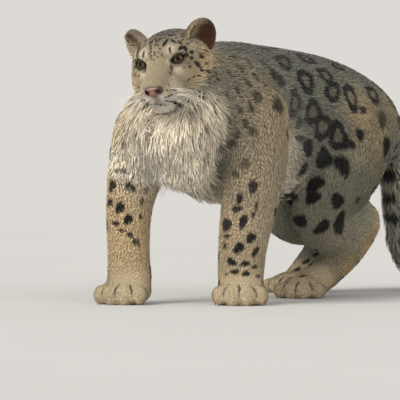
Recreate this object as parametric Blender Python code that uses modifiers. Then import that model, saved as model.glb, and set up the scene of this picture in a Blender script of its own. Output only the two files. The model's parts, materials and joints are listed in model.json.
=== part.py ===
"""Snow leopard, life size, standing with its hindquarters gathered under it.

Metres, +Z up. The head is at -Y, the tail at +Y and the animal's left side at +X. The floor is z = 0.
The flesh and its coat are lofted round the skeleton, fused into one body and parted by thin cuts.
"""

import math
import random

import bmesh
import bpy
from mathutils import Matrix, Vector
from mathutils.bvhtree import BVHTree

# Driving dimensions, in metres
GAP = 0.0003  # kept between nodes that meet
BODY_VOXEL = 0.0065
HEAD_VOXEL = 0.0034
BODY_TRIANGLES = 2900
HEAD_TRIANGLES = 1600
EYE_RADIUS = 0.0165
EYE_SPACING = 0.080  # centre to centre
PAW_LENGTH = 0.125
PAW_WIDTH = 0.118
FORE_PAW_HEIGHT = 0.070
HIND_PAW_HEIGHT = 0.058
PAW_SPLIT = 0.088  # height at which a paw is parted from its leg
TAIL_RADIUS = 0.037  # of the body of the tail, without its long coat
TAIL_SIDE = Vector((0.95, 0.1, 0.3))
TAIL_RING = 0.086  # between rings of locks
TAIL_LOCKS = 4  # in a ring
NOSE_TRIANGLES = 160
LID = 0.0045  # how far the lids stand out from the eyeball
EYE_TURN = math.radians(16)  # how far each eye looks outwards
EYE_SLANT = math.radians(14)  # outer corner up
EYE_OPENING = (0.0152, 0.0098, 0.0078)  # half width, rise above and drop below the middle
EAR_ROOT = (-0.072, 0.071, 0.030)  # forwards, sideways and up from between the eyes
EAR_SIZE = (0.037, 0.023, 0.048)  # half width, depth and height
EAR_SPLAY = math.radians(32)

# Locks: stations along each from its root to its tip, and its size at each
LOCK_SHARES = (-0.05, 0.34, 0.72, 1.0)
LOCK_RISES = (-1.0, 0.85, 1.0, 0.60)
LOCK_WIDTHS = (0.85, 1.0, 0.68)
LOCK_DEPTHS = (0.8, 1.0, 0.7)
LOCK_ROOT = 0.012  # how deep the root is sunk
LOCK_CLING = 0.75  # how far a lock that doesn't sag follows the body where it falls away
LOCK_STAND = 0.5  # how far a lock that sags keeps its slant away from the body
LOCK_WANDER = 0.13
LOCK_MITRE = 6  # how much further a lock's thin edges grow than its faces, so that every face grows alike
LOCK_KINK = 0.35  # cosine of the sharpest turn in a lock
COAT_SEED = 4
# Each kind of lock: length, width, thickness and how high it stands over the body
CHEEK_LOCK = (0.070, 0.034, 0.010, 0.015)
BIB_LOCK = (0.090, 0.042, 0.010, 0.015)
BELLY_LOCK = (0.080, 0.042, 0.010, 0.012)
HAUNCH_LOCK = (0.080, 0.042, 0.010, 0.010)
TAIL_LOCK = (0.118, 0.060, 0.009, 0.007)
BIB_ROWS = 7
CHEEK_SPREAD = {1: 0.40, -1: 1.15}  # how far the ruff spreads on the left and on the right

# The head's place: the point midway between the eyes, and how the head is turned
MID_EYE = Vector((-0.0015, -0.345, 0.5255))
HEAD_YAW = math.radians(14)  # towards the animal's left
HEAD_PITCH = math.radians(10)  # nose down
HEAD_ROLL = math.radians(7.5)  # left side up

# Planes that part the head, the neck and the chest from what is behind: a point and the way forwards
HEAD_PLANE = (Vector((-0.010, -0.262, 0.505)), Vector((0.05, -0.86, 0.50)))
NECK_PLANE = (Vector((-0.020, -0.190, 0.480)), Vector((0.05, -0.62, 0.78)))
CHEST_PLANE = (Vector((0.0, -0.205, 0.300)), Vector((0.03, -0.92, -0.38)))

# Torso stations from the rump to the breast: x, y, z of the middle, half width, half height
TORSO = (
    (0.056, 0.466, 0.374, 0.082, 0.078),
    (0.046, 0.425, 0.382, 0.112, 0.112),
    (0.032, 0.360, 0.389, 0.134, 0.140),
    (0.008, 0.260, 0.400, 0.144, 0.161),
    (-0.012, 0.140, 0.405, 0.144, 0.171),
    (-0.022, 0.020, 0.404, 0.144, 0.178),
    (-0.024, -0.080, 0.405, 0.143, 0.178),
    (-0.020, -0.170, 0.402, 0.138, 0.163),
    (-0.010, -0.240, 0.392, 0.120, 0.132),
    (-0.004, -0.280, 0.388, 0.092, 0.096),
)
# Neck stations from the withers to the skull
NECK = (
    (-0.022, -0.060, 0.450, 0.120, 0.125),
    (-0.020, -0.150, 0.472, 0.108, 0.110),
    (-0.018, -0.220, 0.490, 0.092, 0.094),
    (-0.016, -0.262, 0.504, 0.082, 0.080),
)
# Throat stations from under the jaw to the breast
THROAT = (
    (-0.012, -0.232, 0.440, 0.082, 0.078),
    (-0.006, -0.268, 0.400, 0.086, 0.066),
    (-0.002, -0.270, 0.345, 0.082, 0.056),
    (-0.012, -0.246, 0.296, 0.080, 0.048),
)
# Tail stations from the root to the tip: x, y, z and the share of its full thickness
TAIL = (
    (0.056, 0.465, 0.388, 1.05),
    (0.057, 0.515, 0.346, 1.00),
    (0.058, 0.548, 0.275, 0.96),
    (0.060, 0.562, 0.190, 0.96),
    (0.070, 0.573, 0.108, 0.98),
    (0.106, 0.592, 0.050, 1.00),
    (0.170, 0.616, 0.034, 1.00),
    (0.270, 0.622, 0.033, 1.00),
    (0.365, 0.585, 0.033, 0.98),
    (0.420, 0.522, 0.034, 0.95),
    (0.446, 0.447, 0.046, 0.88),
    (0.442, 0.382, 0.070, 0.72),
)

# Nodes that no lock comes near, and the order in which locks are joined: the last lie on top
BARE = ("left_eye", "right_eye", "nose")
LOCK_ORDER = ("tail_tip", "tail_middle", "tail_bend", "tail_root", "left_hindleg", "right_hindleg", "torso",
              "left_foreleg", "right_foreleg", "chest", "neck", "head")

# Colour of each node's coat or bare skin, and how rough it is
FINISHES = {
    "torso": ("8f8a7c", 0.85),
    "head": ("a39680", 0.85),
    "neck": ("b3a285", 0.85),
    "chest": ("d3c4a6", 0.85),
    "left_foreleg": ("a48b6b", 0.85),
    "right_foreleg": ("a8906e", 0.85),
    "left_hindleg": ("858479", 0.85),
    "right_hindleg": ("858479", 0.85),
    "left_fore_paw": ("b5a58e", 0.85),
    "right_fore_paw": ("b5a58e", 0.85),
    "left_hind_paw": ("aa9b7f", 0.85),
    "right_hind_paw": ("aa9b7f", 0.85),
    "tail_root": ("8a897f", 0.85),
    "tail_bend": ("8a897f", 0.85),
    "tail_middle": ("8a897f", 0.85),
    "tail_tip": ("7c7b74", 0.85),
    "left_ear": ("6f5a48", 0.80),
    "right_ear": ("6f5a48", 0.80),
    "left_eye": ("a8a074", 0.10),
    "right_eye": ("a8a074", 0.10),
    "nose": ("b98070", 0.45),
}


def clear_scene():
    for item in list(bpy.data.objects):
        bpy.data.objects.remove(item, do_unlink=True)


def new_collection(name):
    group = bpy.data.collections.new(name)
    bpy.context.scene.collection.children.link(group)
    return group


def mesh_object(name, mesh, group):
    item = bpy.data.objects.new(name, mesh)
    group.objects.link(item)
    return item


def finish_bmesh(bm, name):
    bmesh.ops.recalc_face_normals(bm, faces=bm.faces)
    mesh = bpy.data.meshes.new(name)
    bm.to_mesh(mesh)
    bm.free()
    return mesh


def catmull_rom(a, b, c, d, t):
    """One value on the smooth curve from b to c."""
    return 0.5 * (
        2 * b + (c - a) * t + (2 * a - 5 * b + 4 * c - d) * t * t
        + (3 * b - a - 3 * c + d) * t * t * t
    )


def smooth_stations(stations, steps):
    """The stations with more between them, on a smooth curve through them."""
    last = len(stations) - 1
    found = []
    for i in range(last):
        near = [stations[max(0, min(last, i + k))] for k in (-1, 0, 1, 2)]
        for step in range(steps):
            t = step / steps
            found.append([catmull_rom(*values, t) for values in zip(*near)])
    found.append(list(stations[-1]))
    return found


def loft(bm, stations, side, sides=28, steps=4, cap=0.8):
    """A closed tube through stations of x, y, z, half width and half height, with domed ends."""
    rows = smooth_stations(stations, steps)
    centres = [Vector(row[:3]) for row in rows]
    rings = []
    for i, row in enumerate(rows):
        along = (centres[min(i + 1, len(rows) - 1)] - centres[max(i - 1, 0)]).normalized()
        across = (side - along * side.dot(along)).normalized()
        rings.append((centres[i], across, along.cross(across), along, row[3], row[4]))
    domes = []
    for end, sign in ((rings[0], -1), (rings[-1], 1)):
        centre, across, lift, along, width, height = end
        reach = cap * min(width, height)
        dome = []
        for turn in (25, 50, 72):
            angle = math.radians(turn)
            shift = along * sign * reach * math.sin(angle)
            share = math.cos(angle)
            dome.append((centre + shift, across, lift, along, width * share, height * share))
        domes.append((dome, centre + along * sign * reach))
    rings = domes[0][0][::-1] + rings + domes[1][0]
    loops = []
    for centre, across, lift, _, width, height in rings:
        loop = []
        for k in range(sides):
            angle = 2 * math.pi * k / sides
            point = centre + across * width * math.cos(angle) + lift * height * math.sin(angle)
            loop.append(bm.verts.new(point))
        loops.append(loop)
    for first, second in zip(loops, loops[1:]):
        for k in range(sides):
            bm.faces.new((first[k], first[(k + 1) % sides], second[(k + 1) % sides], second[k]))
    for loop, (_, tip) in ((loops[0], domes[0]), (loops[-1], domes[1])):
        pole = bm.verts.new(tip)
        for k in range(sides):
            bm.faces.new((loop[(k + 1) % sides], loop[k], pole))


def blob(bm, centre, radii, turn=None, segments=24, rings=16):
    """An ellipsoid, turned by a 3x3 matrix whose columns are its own axes."""
    made = bmesh.ops.create_uvsphere(bm, u_segments=segments, v_segments=rings, radius=1.0)
    matrix = Matrix.Translation(centre) @ (turn or Matrix.Identity(3)).to_4x4() @ Matrix.Diagonal((*radii, 1))
    bmesh.ops.transform(bm, matrix=matrix, verts=made["verts"])


def plan_axes(turn_deg):
    """Columns: left, backwards and up, for a stretch of the body turned in plan."""
    turn = math.radians(turn_deg)
    back = Vector((math.sin(turn), math.cos(turn), 0))
    left = Vector((back.y, -back.x, 0))
    return Matrix((left, back, Vector((0, 0, 1)))).transposed()


# Each leg: its path of x, y, z, half width, half depth; its paw's x, y and turn in plan; and the
# round of the shoulder or haunch where it is parted from the torso: x, y, z and three radii
FORE_TURN = -11
HIND_TURN = 19
LEGS = {
    "left_foreleg": {
        "path": (
            (0.092, -0.105, 0.430, 0.062, 0.085),
            (0.104, -0.130, 0.360, 0.068, 0.088),
            (0.110, -0.145, 0.285, 0.066, 0.078),
            (0.108, -0.165, 0.210, 0.060, 0.066),
            (0.103, -0.178, 0.140, 0.055, 0.058),
            (0.101, -0.184, 0.085, 0.052, 0.053),
            (0.102, -0.188, 0.050, 0.050, 0.050),
        ),
        "paw": (0.112, -0.200, -30, FORE_PAW_HEIGHT),
        "round": (0.112, -0.132, 0.345, 0.078, 0.108, 0.120),
        "box": (0.020, 0.200, -0.320, -0.090, 0.100),
    },
    "right_foreleg": {
        "path": (
            (-0.120, -0.165, 0.430, 0.060, 0.085),
            (-0.136, -0.215, 0.360, 0.066, 0.088),
            (-0.138, -0.250, 0.285, 0.058, 0.070),
            (-0.136, -0.275, 0.210, 0.050, 0.057),
            (-0.127, -0.290, 0.140, 0.047, 0.051),
            (-0.120, -0.297, 0.085, 0.047, 0.050),
            (-0.114, -0.303, 0.050, 0.050, 0.050),
        ),
        "paw": (-0.110, -0.318, -14, FORE_PAW_HEIGHT),
        "round": (-0.140, -0.212, 0.345, 0.074, 0.106, 0.120),
        "box": (-0.200, -0.030, -0.420, -0.210, 0.100),
    },
    "left_hindleg": {
        "path": (
            (0.080, 0.340, 0.385, 0.080, 0.110),
            (0.095, 0.265, 0.315, 0.076, 0.110),
            (0.095, 0.185, 0.245, 0.066, 0.088),
            (0.088, 0.145, 0.185, 0.058, 0.064),
            (0.100, 0.200, 0.152, 0.052, 0.062),
            (0.114, 0.268, 0.176, 0.045, 0.050),
            (0.116, 0.303, 0.168, 0.042, 0.044),
            (0.100, 0.258, 0.106, 0.041, 0.041),
            (0.078, 0.205, 0.060, 0.043, 0.037),
            (0.068, 0.165, 0.036, 0.046, 0.034),
        ),
        "paw": (0.063, 0.130, -16, HIND_PAW_HEIGHT),
        "round": (0.118, 0.265, 0.325, 0.085, 0.150, 0.135),
        "box": (0.004, 0.190, 0.030, 0.365, 0.215),
    },
    "right_hindleg": {
        "path": (
            (-0.030, 0.380, 0.385, 0.080, 0.110),
            (-0.062, 0.330, 0.315, 0.076, 0.108),
            (-0.080, 0.285, 0.250, 0.066, 0.086),
            (-0.086, 0.270, 0.200, 0.058, 0.066),
            (-0.078, 0.345, 0.172, 0.050, 0.062),
            (-0.066, 0.430, 0.192, 0.044, 0.050),
            (-0.064, 0.462, 0.178, 0.042, 0.044),
            (-0.070, 0.425, 0.114, 0.041, 0.041),
            (-0.078, 0.378, 0.062, 0.043, 0.037),
            (-0.082, 0.345, 0.036, 0.046, 0.034),
        ),
        "paw": (-0.086, 0.315, 0, HIND_PAW_HEIGHT),
        "round": (-0.085, 0.350, 0.325, 0.085, 0.145, 0.130),
        "box": (-0.160, -0.012, 0.215, 0.525, 0.215),
    },
}


def paw(bm, x, y, turn_deg, height):
    """A broad furred paw with four toes, its sole a little under the floor so that the cut there is flat."""
    axes = plan_axes(turn_deg)
    length, width = PAW_LENGTH, PAW_WIDTH
    middle = Vector((x, y, 0.40 * height))
    blob(bm, middle, (0.47 * width, 0.46 * length, 0.50 * height), axes)
    for rank in (-1.5, -0.5, 0.5, 1.5):
        outer = abs(rank) > 1
        reach = 0.30 if outer else 0.40
        offset = axes @ Vector((rank * 0.26 * width, -reach * length, -0.10 * height))
        radii = (0.150 * width, 0.185 * length, (0.33 if outer else 0.37) * height)
        blob(bm, middle + offset, radii, axes, 16, 12)


def head_axes():
    """Columns: forwards, left and up of the head."""
    heading = Vector((math.sin(HEAD_YAW), -math.cos(HEAD_YAW), 0))
    forwards = heading * math.cos(HEAD_PITCH) - Vector((0, 0, math.sin(HEAD_PITCH)))
    level_left = Vector((-heading.y, heading.x, 0))
    level_up = forwards.cross(level_left)
    left = level_left * math.cos(HEAD_ROLL) + level_up * math.sin(HEAD_ROLL)
    up = level_up * math.cos(HEAD_ROLL) - level_left * math.sin(HEAD_ROLL)
    return Matrix((forwards, left, up)).transposed()


def head_point(forwards, left, up):
    """A point given from between the eyes, along the head's own axes."""
    return MID_EYE + head_axes() @ Vector((forwards, left, up))


def head_forms(bm):
    """Cranium, forehead, brows, cheeks, muzzle, whisker pads, jaw and chin."""
    axes = head_axes()

    def form(forwards, left, up, radii):
        blob(bm, head_point(forwards, left, up), radii, axes)

    def tube(stations, cap):
        loft(bm, [(*head_point(*row[:3]), row[3], row[4]) for row in stations], axes.col[1], cap=cap)

    form(-0.080, 0, -0.004, (0.088, 0.081, 0.066))
    form(-0.044, 0, 0.012, (0.060, 0.060, 0.044))
    for sign in (-1, 1):
        form(-0.072, sign * 0.050, -0.040, (0.062, 0.048, 0.060))
        form(-0.062, sign * 0.050, -0.012, (0.054, 0.038, 0.052))
        form(-0.034, sign * 0.044, -0.036, (0.042, 0.036, 0.038))
        form(-0.014, sign * 0.036, 0.018, (0.022, 0.029, 0.014))
        form(0.036, sign * 0.0195, -0.068, (0.030, 0.0235, 0.0215))
        form(0.014, sign * 0.026, -0.056, (0.030, 0.023, 0.028))
    tube([(-0.030, 0, -0.014, 0.040, 0.038), (0.012, 0, -0.025, 0.030, 0.034),
          (0.040, 0, -0.040, 0.0265, 0.026), (0.058, 0, -0.050, 0.0225, 0.019)], 0.55)
    tube([(-0.070, 0, -0.075, 0.055, 0.034), (-0.020, 0, -0.085, 0.040, 0.026),
          (0.034, 0, -0.094, 0.024, 0.016)], 0.7)


def grown(item, group, by=GAP):
    """A copy of a mesh object with every point moved out along its normal."""
    copy = mesh_object(item.name + "_grown", item.data.copy(), group)
    normals = [vert.normal.copy() for vert in copy.data.vertices]
    for vert, normal in zip(copy.data.vertices, normals):
        vert.co += normal * by
    return copy


def single_blob(name, centre, radii, turn, group, segments=24, rings=14):
    bm = bmesh.new()
    blob(bm, centre, radii, turn, segments, rings)
    return mesh_object(name, finish_bmesh(bm, name), group)


def use(item, operation, other):
    """One Boolean, with its tool removed afterwards."""
    boolean(item, operation, other)
    bpy.data.objects.remove(other)


def eye_frame(sign):
    """The eyeball's middle, and axes whose columns point out of the eye, to its left and up."""
    axes = head_axes()
    middle = head_point(-0.0125, sign * EYE_SPACING / 2, 0.0)
    look = axes @ Vector((math.cos(EYE_TURN), sign * math.sin(EYE_TURN), 0.05)).normalized()
    left = axes.col[2].cross(look).normalized()
    tilt = Matrix.Rotation(sign * EYE_SLANT, 3, look)
    left = tilt @ left
    return middle, Matrix((look, left, look.cross(left))).transposed()


def eye_opening(sign, group):
    """An almond prism that opens the lids in front of an eyeball."""
    middle, axes = eye_frame(sign)
    half, upper, lower = EYE_OPENING
    outline = []
    steps = 7
    for rise, start, stop in ((upper, -1, 1), (-lower, 1, -1)):
        for k in range(steps):
            across = start + (stop - start) * k / steps
            outline.append((half * across, rise * (1 - abs(across) ** 2.2)))
    bm = bmesh.new()
    loops = [[bm.verts.new(middle + axes @ Vector((reach, y, z))) for y, z in outline]
             for reach in (0.2 * EYE_RADIUS, 3.0 * EYE_RADIUS)]
    bm.faces.new(loops[0])
    bm.faces.new(loops[1][::-1])
    count = len(outline)
    for k in range(count):
        bm.faces.new((loops[0][k], loops[1][k], loops[1][(k + 1) % count], loops[0][(k + 1) % count]))
    return mesh_object("opening", finish_bmesh(bm, "opening"), group)


def build_nose(parts, cutters):
    """The bare nose pad with its two nostrils."""
    axes = head_axes()
    bm = bmesh.new()
    blob(bm, head_point(0.062, 0, -0.050), (0.0125, 0.0205, 0.0095), axes)
    blob(bm, head_point(0.062, 0, -0.058), (0.0115, 0.0110, 0.0110), axes)
    for sign in (-1, 1):
        blob(bm, head_point(0.060, sign * 0.0130, -0.0545), (0.0120, 0.0085, 0.0095), axes)
    nose = fuse(bm, "nose", parts, 0.0012, 4, NOSE_TRIANGLES)
    for sign in (-1, 1):
        turn = axes @ Matrix.Rotation(sign * math.radians(28), 3, "Z") @ Matrix.Rotation(
            sign * math.radians(25), 3, "X")
        nostril = single_blob("nostril", head_point(0.0730, sign * 0.0130, -0.0560),
                              (0.0090, 0.0052, 0.0036), turn, cutters, 8, 6)
        use(nose, "DIFFERENCE", nostril)
    return nose


def groove(name, points, radius, group):
    """A closed thin tube along points, thinner at its ends, for cutting a line into a surface."""
    last = len(points) - 1
    rows = []
    for k, point in enumerate(points):
        size = radius * (1.0 if 0 < k < last else 0.4)
        rows.append((*point, size, size))
    bm = bmesh.new()
    loft(bm, rows, Vector((0.1, 0.2, 1)), sides=6, steps=2, cap=0.5)
    return mesh_object(name, finish_bmesh(bm, name), group)


def mouth_line(head):
    """Points along the lips from corner to corner, laid on the skin of the muzzle."""
    wanted = [(0.014, 0.040, -0.083), (0.034, 0.040, -0.087), (0.056, 0.030, -0.088), (0.070, 0.014, -0.084),
              (0.074, 0.0, -0.080)]
    wanted += [(f, -left, up) for f, left, up in wanted[-2::-1]]
    return [head.closest_point_on_mesh(head_point(*point))[1] for point in wanted]


def build_ear(sign, head, parts, cutters):
    """A short round ear: a dome hollowed from the front into a cup."""
    name = ("right_ear", "left_ear")[sign > 0]
    axes = head_axes()
    out, lean = math.radians(46), math.radians(12)
    forwards = axes @ Vector((math.cos(out), sign * math.sin(out), 0))
    up = (axes @ Vector((-math.sin(lean), sign * math.sin(EAR_SPLAY), math.cos(lean)))).normalized()
    left = up.cross(forwards).normalized()
    turn = Matrix((left.cross(up), left, up)).transposed()
    root = head_point(*EAR_ROOT[:1], sign * EAR_ROOT[1], EAR_ROOT[2])
    half, depth, height = EAR_SIZE
    ear = single_blob(name, root, (depth, half, height), turn, parts, 18, 12)
    hollow = turn @ Vector((0.62 * depth, 0, 0.10 * height))
    use(ear, "DIFFERENCE", single_blob("cup", root + hollow, (0.95 * depth, 0.80 * half, 0.78 * height),
                                       turn, cutters, 14, 10))
    use(ear, "DIFFERENCE", grown(head, cutters))
    keep_largest(ear)
    return ear


def lock_mesh(name, points, normals, width, thickness, grow):
    """A closed flat lock: a pointed strip with a low ridge along points, its face towards normals."""
    bm = bmesh.new()
    loops = []
    last = len(points) - 1
    for k in range(last):
        along = (points[k + 1] - points[max(k - 1, 0)]).normalized()
        across = along.cross(normals[k]).normalized()
        out = across.cross(along)
        half_width = 0.5 * width * LOCK_WIDTHS[k] + LOCK_MITRE * grow
        half_depth = 0.5 * thickness * LOCK_DEPTHS[k]
        under = -out * (0.5 * half_depth + grow)
        ridge = out * (half_depth + 1.2 * grow)
        corners = (across * half_width + under, ridge, -across * half_width + under)
        middle = points[k] - along * (grow if k == 0 else 0.0)
        loops.append([bm.verts.new(middle + corner) for corner in corners])
    tip = bm.verts.new(points[last] + (points[last] - points[last - 1]).normalized() * LOCK_MITRE * grow)
    bm.faces.new(loops[0])
    for first, second in zip(loops, loops[1:]):
        for k in range(3):
            after = (k + 1) % 3
            bm.faces.new((first[k], first[after], second[after]))
            bm.faces.new((first[k], second[after], second[k]))
    for k in range(3):
        bm.faces.new((loops[-1][k], loops[-1][(k + 1) % 3], tip))
    return finish_bmesh(bm, name)


def lock_path(surface, start, outward, lie, length, lift, sag):
    """Points and facings of one lock that leaves the surface at start and lies along it, or sags free of it."""
    stand = LOCK_STAND if sag else 0.0
    along = (lie - outward * lie.dot(outward) * (1 - stand)).normalized()
    points = []
    facings = []
    for share, rise in zip(LOCK_SHARES, LOCK_RISES):
        height = lift * rise if rise > 0 else rise * LOCK_ROOT
        place = start + along * length * share + outward * height
        place.z -= sag * length * share * share
        facing = outward
        if share > 0:
            foot, normal, _, _ = surface.find_nearest(place)
            off = height - (place - foot).dot(normal)
            place += normal * (off if off > 0 else off * LOCK_CLING * (sag == 0))
            if normal.dot(outward) > 0:
                facing = (outward * (1 - share) + normal * share).normalized()
        facings.append(facing)
        points.append(place)
    return points, facings


def kinked(points):
    """Whether a path turns too sharply anywhere for a lock to follow it."""
    steps = [(after - before).normalized() for before, after in zip(points, points[1:])]
    return any(before.dot(after) < LOCK_KINK for before, after in zip(steps, steps[1:]))


class Coat:
    """Roots locks on the nodes by rays, and joins each node's locks to it."""

    def __init__(self, nodes):
        self.nodes = nodes
        self.surfaces = {}
        for name, node in nodes.items():
            mesh = node.data
            corners = [vert.co.copy() for vert in mesh.vertices]
            faces = [tuple(polygon.vertices) for polygon in mesh.polygons]
            self.surfaces[name] = BVHTree.FromPolygons(corners, faces)
        self.whole = self.joined_surface()
        self.locks = {name: [] for name in nodes}
        self.dice = random.Random(COAT_SEED)

    def joined_surface(self):
        """One search tree over all the nodes that carry locks."""
        corners = []
        faces = []
        for node in self.nodes.values():
            first = len(corners)
            corners += [vert.co.copy() for vert in node.data.vertices]
            faces += [tuple(first + i for i in polygon.vertices) for polygon in node.data.polygons]
        return BVHTree.FromPolygons(corners, faces)

    def grow(self, origin, aim, lie, size, sag, wanted):
        """Roots a lock of that size where a ray from origin first meets a node, if wanted there."""
        aim = aim.normalized()
        hits = []
        for name, surface in self.surfaces.items():
            place, normal, _, reach = surface.ray_cast(origin, aim)
            if place is not None:
                hits.append((reach, name, place, normal))
        _, name, place, normal = min(hits, key=lambda hit: hit[0], default=(0, "", None, None))
        vary = self.dice.uniform
        length = size[0] * vary(0.86, 1.14)
        width = size[1] * vary(0.88, 1.12)
        lift = size[3] * vary(0.9, 1.1)
        if not name.endswith(wanted):
            return
        lie = lie.normalized() + Vector((vary(-1, 1), vary(-1, 1), vary(-1, 1))) * LOCK_WANDER
        points, facings = lock_path(self.whole, place, normal, lie, length, lift, sag)
        if not kinked(points):
            self.locks[name].append((points, facings, width, size[2]))

    def solids(self, name, group, grow):
        """The locks of one node as closed meshes in a collection."""
        for k, lock in enumerate(self.locks[name]):
            mesh = lock_mesh(f"{name}_lock_{k}", *lock, grow)
            mesh_object(mesh.name, mesh, group)
        return group

    def join(self, order):
        """Unites each node with its locks and keeps every other node a gap clear of them."""
        for name in order:
            if not self.locks[name]:
                continue
            group = self.solids(name, new_collection(name + "_locks"), 0.0)
            boolean(self.nodes[name], "UNION", group)
            drop(group)
            keep_largest(self.nodes[name])
            around = [self.reach(lock[0], lock[2]) for lock in self.locks[name]]
            group = self.solids(name, new_collection(name + "_clearance"), GAP)
            for other, node in self.nodes.items():
                if other != name and any(self.meets(box, node) for box in around):
                    boolean(node, "DIFFERENCE", group)
                    keep_largest(node)
            drop(group)

    def reach(self, points, width):
        """The box that points stay within, wider by a width on every side."""
        low = Vector([min(point[k] for point in points) - width for k in range(3)])
        high = Vector([max(point[k] for point in points) + width for k in range(3)])
        return low, high

    def meets(self, box, node):
        """Whether a box and the box round a node overlap."""
        low, high = self.reach([vert.co for vert in node.data.vertices], 0.0)
        return all(box[0][k] < high[k] and low[k] < box[1][k] for k in range(3))


def drop(group):
    """Removes a collection and everything in it."""
    for item in list(group.objects):
        bpy.data.objects.remove(item)
    bpy.data.collections.remove(group)


def cheek_locks(coat):
    """The ruff that stands out from each cheek, from under the ear to under the jaw."""
    axes = head_axes()
    for sign in (-1, 1):
        for back, count in ((-0.052, 5), (-0.082, 5)):
            for k in range(count):
                angle = math.radians(16 - 96 * k / (count - 1))
                side = axes @ Vector((0, sign * math.cos(angle), math.sin(angle)))
                origin = head_point(back, 0, -0.030) + side * 0.25
                outwards = sign * CHEEK_SPREAD[sign] * math.cos(angle)
                lie = axes @ Vector((-0.9, outwards, 0.55 * math.sin(angle) - 0.45))
                coat.grow(origin, -side, lie, CHEEK_LOCK, 0.10, ("head", "neck"))


def bib_locks(coat):
    """The long coat that hangs from the throat down the breast."""
    for row in range(BIB_ROWS):
        height = 0.418 - 0.034 * row
        half = 0.082
        count = 5 - row % 2
        for k in range(count):
            across = -1 + 2 * k / (count - 1)
            origin = Vector((-0.008 + half * across, -0.75, height + 0.022 * across * across))
            coat.grow(origin, Vector((0, 1, 0)), Vector((0.30 * across, -0.10, -1)), BIB_LOCK, 0.0,
                      ("neck", "chest", "torso"))
    for k in range(3):
        origin = Vector((-0.6, -0.230 - 0.012 * k, 0.465 - 0.034 * k))
        coat.grow(origin, Vector((1, 0.2, 0)), Vector((-0.1, 0.15, -1)), BIB_LOCK, 0.0, ("neck", "chest"))


def belly_locks(coat):
    """The fringe under the belly, from the elbows to the knees."""
    for lane, start, stop in ((0.085, -0.050, 0.090), (0.030, -0.120, 0.130), (-0.045, -0.140, 0.130),
                              (-0.110, -0.110, 0.150)):
        count = round((stop - start) / 0.042) + 1
        for k in range(count):
            origin = Vector((lane - 0.015, start + (stop - start) * k / (count - 1), -0.2))
            lie = Vector((0.6 * lane, 0.85, -0.35))
            coat.grow(origin, Vector((0, 0, 1)), lie, BELLY_LOCK, 0.12, ("torso", "chest"))


def haunch_locks(coat):
    """The longer coat behind each thigh."""
    for x, y in ((0.135, 0.36), (-0.100, 0.44)):
        back = plan_axes(HIND_TURN).col[1]
        for k in range(5):
            origin = Vector((x + 0.012 * (-1) ** k, y, 0.37 - 0.034 * k)) + back * 0.3
            coat.grow(origin, -back, Vector((0, 0.25, -1)), HAUNCH_LOCK, 0.0, ("hindleg", "torso"))


def foreleg_locks(coat):
    """The fringe behind each upper foreleg."""
    for x, y in ((0.108, -0.16), (-0.134, -0.25)):
        for k in range(3):
            origin = Vector((x + 0.012 * (-1) ** k, y + 0.14, 0.25 - 0.038 * k))
            coat.grow(origin, Vector((0, -1, 0)), Vector((0, 0.20, -1)), HAUNCH_LOCK, 0.0, ("foreleg",))


def tail_locks(coat):
    """Rings of locks down the tail, left out where it lies on the floor."""
    stations = smooth_stations(TAIL[1:], 8)
    walked = 0.0
    ring = 0
    for first, second in zip(stations, stations[1:]):
        start = Vector(first[:3])
        step = Vector(second[:3]) - start
        walked += step.length
        if walked < TAIL_RING * (ring + 0.5):
            continue
        along = step.normalized()
        across = (TAIL_SIDE - along * TAIL_SIDE.dot(along)).normalized()
        lift = along.cross(across)
        for k in range(TAIL_LOCKS):
            angle = 2 * math.pi * (k + 0.5 * (ring % 2)) / TAIL_LOCKS
            out = across * math.cos(angle) + lift * math.sin(angle)
            if start.z > 0.09 or out.z > -0.5:
                coat.grow(start + out * 0.12, -out, along, TAIL_LOCK, 0.0,
                          ("tail_root", "tail_bend", "tail_middle", "tail_tip"))
        ring += 1


def evaluated_mesh(item, name):
    graph = bpy.context.evaluated_depsgraph_get()
    return bpy.data.meshes.new_from_object(item.evaluated_get(graph), depsgraph=graph)


def fuse(bm, name, group, voxel, smoothing, triangles):
    """One closed skin round everything in bm, evened out and thinned to about that many triangles."""
    item = mesh_object(name, finish_bmesh(bm, name), group)
    remesh = item.modifiers.new("Fuse", "REMESH")
    remesh.mode = "VOXEL"
    remesh.voxel_size = voxel
    smooth = item.modifiers.new("Smooth", "SMOOTH")
    smooth.factor = 0.5
    smooth.iterations = smoothing
    mesh = evaluated_mesh(item, name)
    faces = 2 * len(mesh.polygons)
    item.modifiers.clear()
    item.data = mesh
    thin = item.modifiers.new("Thin", "DECIMATE")
    thin.ratio = min(1.0, triangles / faces)
    mesh = evaluated_mesh(item, name)
    item.modifiers.clear()
    item.data = mesh
    return item


def boolean(item, operation, other):
    """Applies one Boolean with another closed mesh object, or with a collection of them."""
    step = item.modifiers.new(operation, "BOOLEAN")
    step.operation = operation
    step.solver = "MANIFOLD"
    if isinstance(other, bpy.types.Collection):
        step.operand_type = "COLLECTION"
        step.collection = other
    else:
        step.object = other
    mesh = evaluated_mesh(item, item.name)
    item.modifiers.clear()
    item.data = mesh


def keep_largest(item):
    """Keeps only the largest closed surface of a mesh object."""
    bm = bmesh.new()
    bm.from_mesh(item.data)
    bmesh.ops.remove_doubles(bm, verts=bm.verts, dist=1e-6)
    left = set(bm.faces)
    shells = []
    while left:
        shell = {left.pop()}
        front = list(shell)
        while front:
            face = front.pop()
            for edge in face.edges:
                near = [other for other in edge.link_faces if other not in shell]
                if len(edge.link_faces) == 2 and near:
                    shell.add(near[0])
                    front.append(near[0])
        left -= shell
        shells.append(shell)
    largest = max(shells, key=len)
    loose = [face for face in bm.faces if face not in largest]
    bmesh.ops.delete(bm, geom=loose, context="FACES")
    bm.to_mesh(item.data)
    bm.free()


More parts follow.
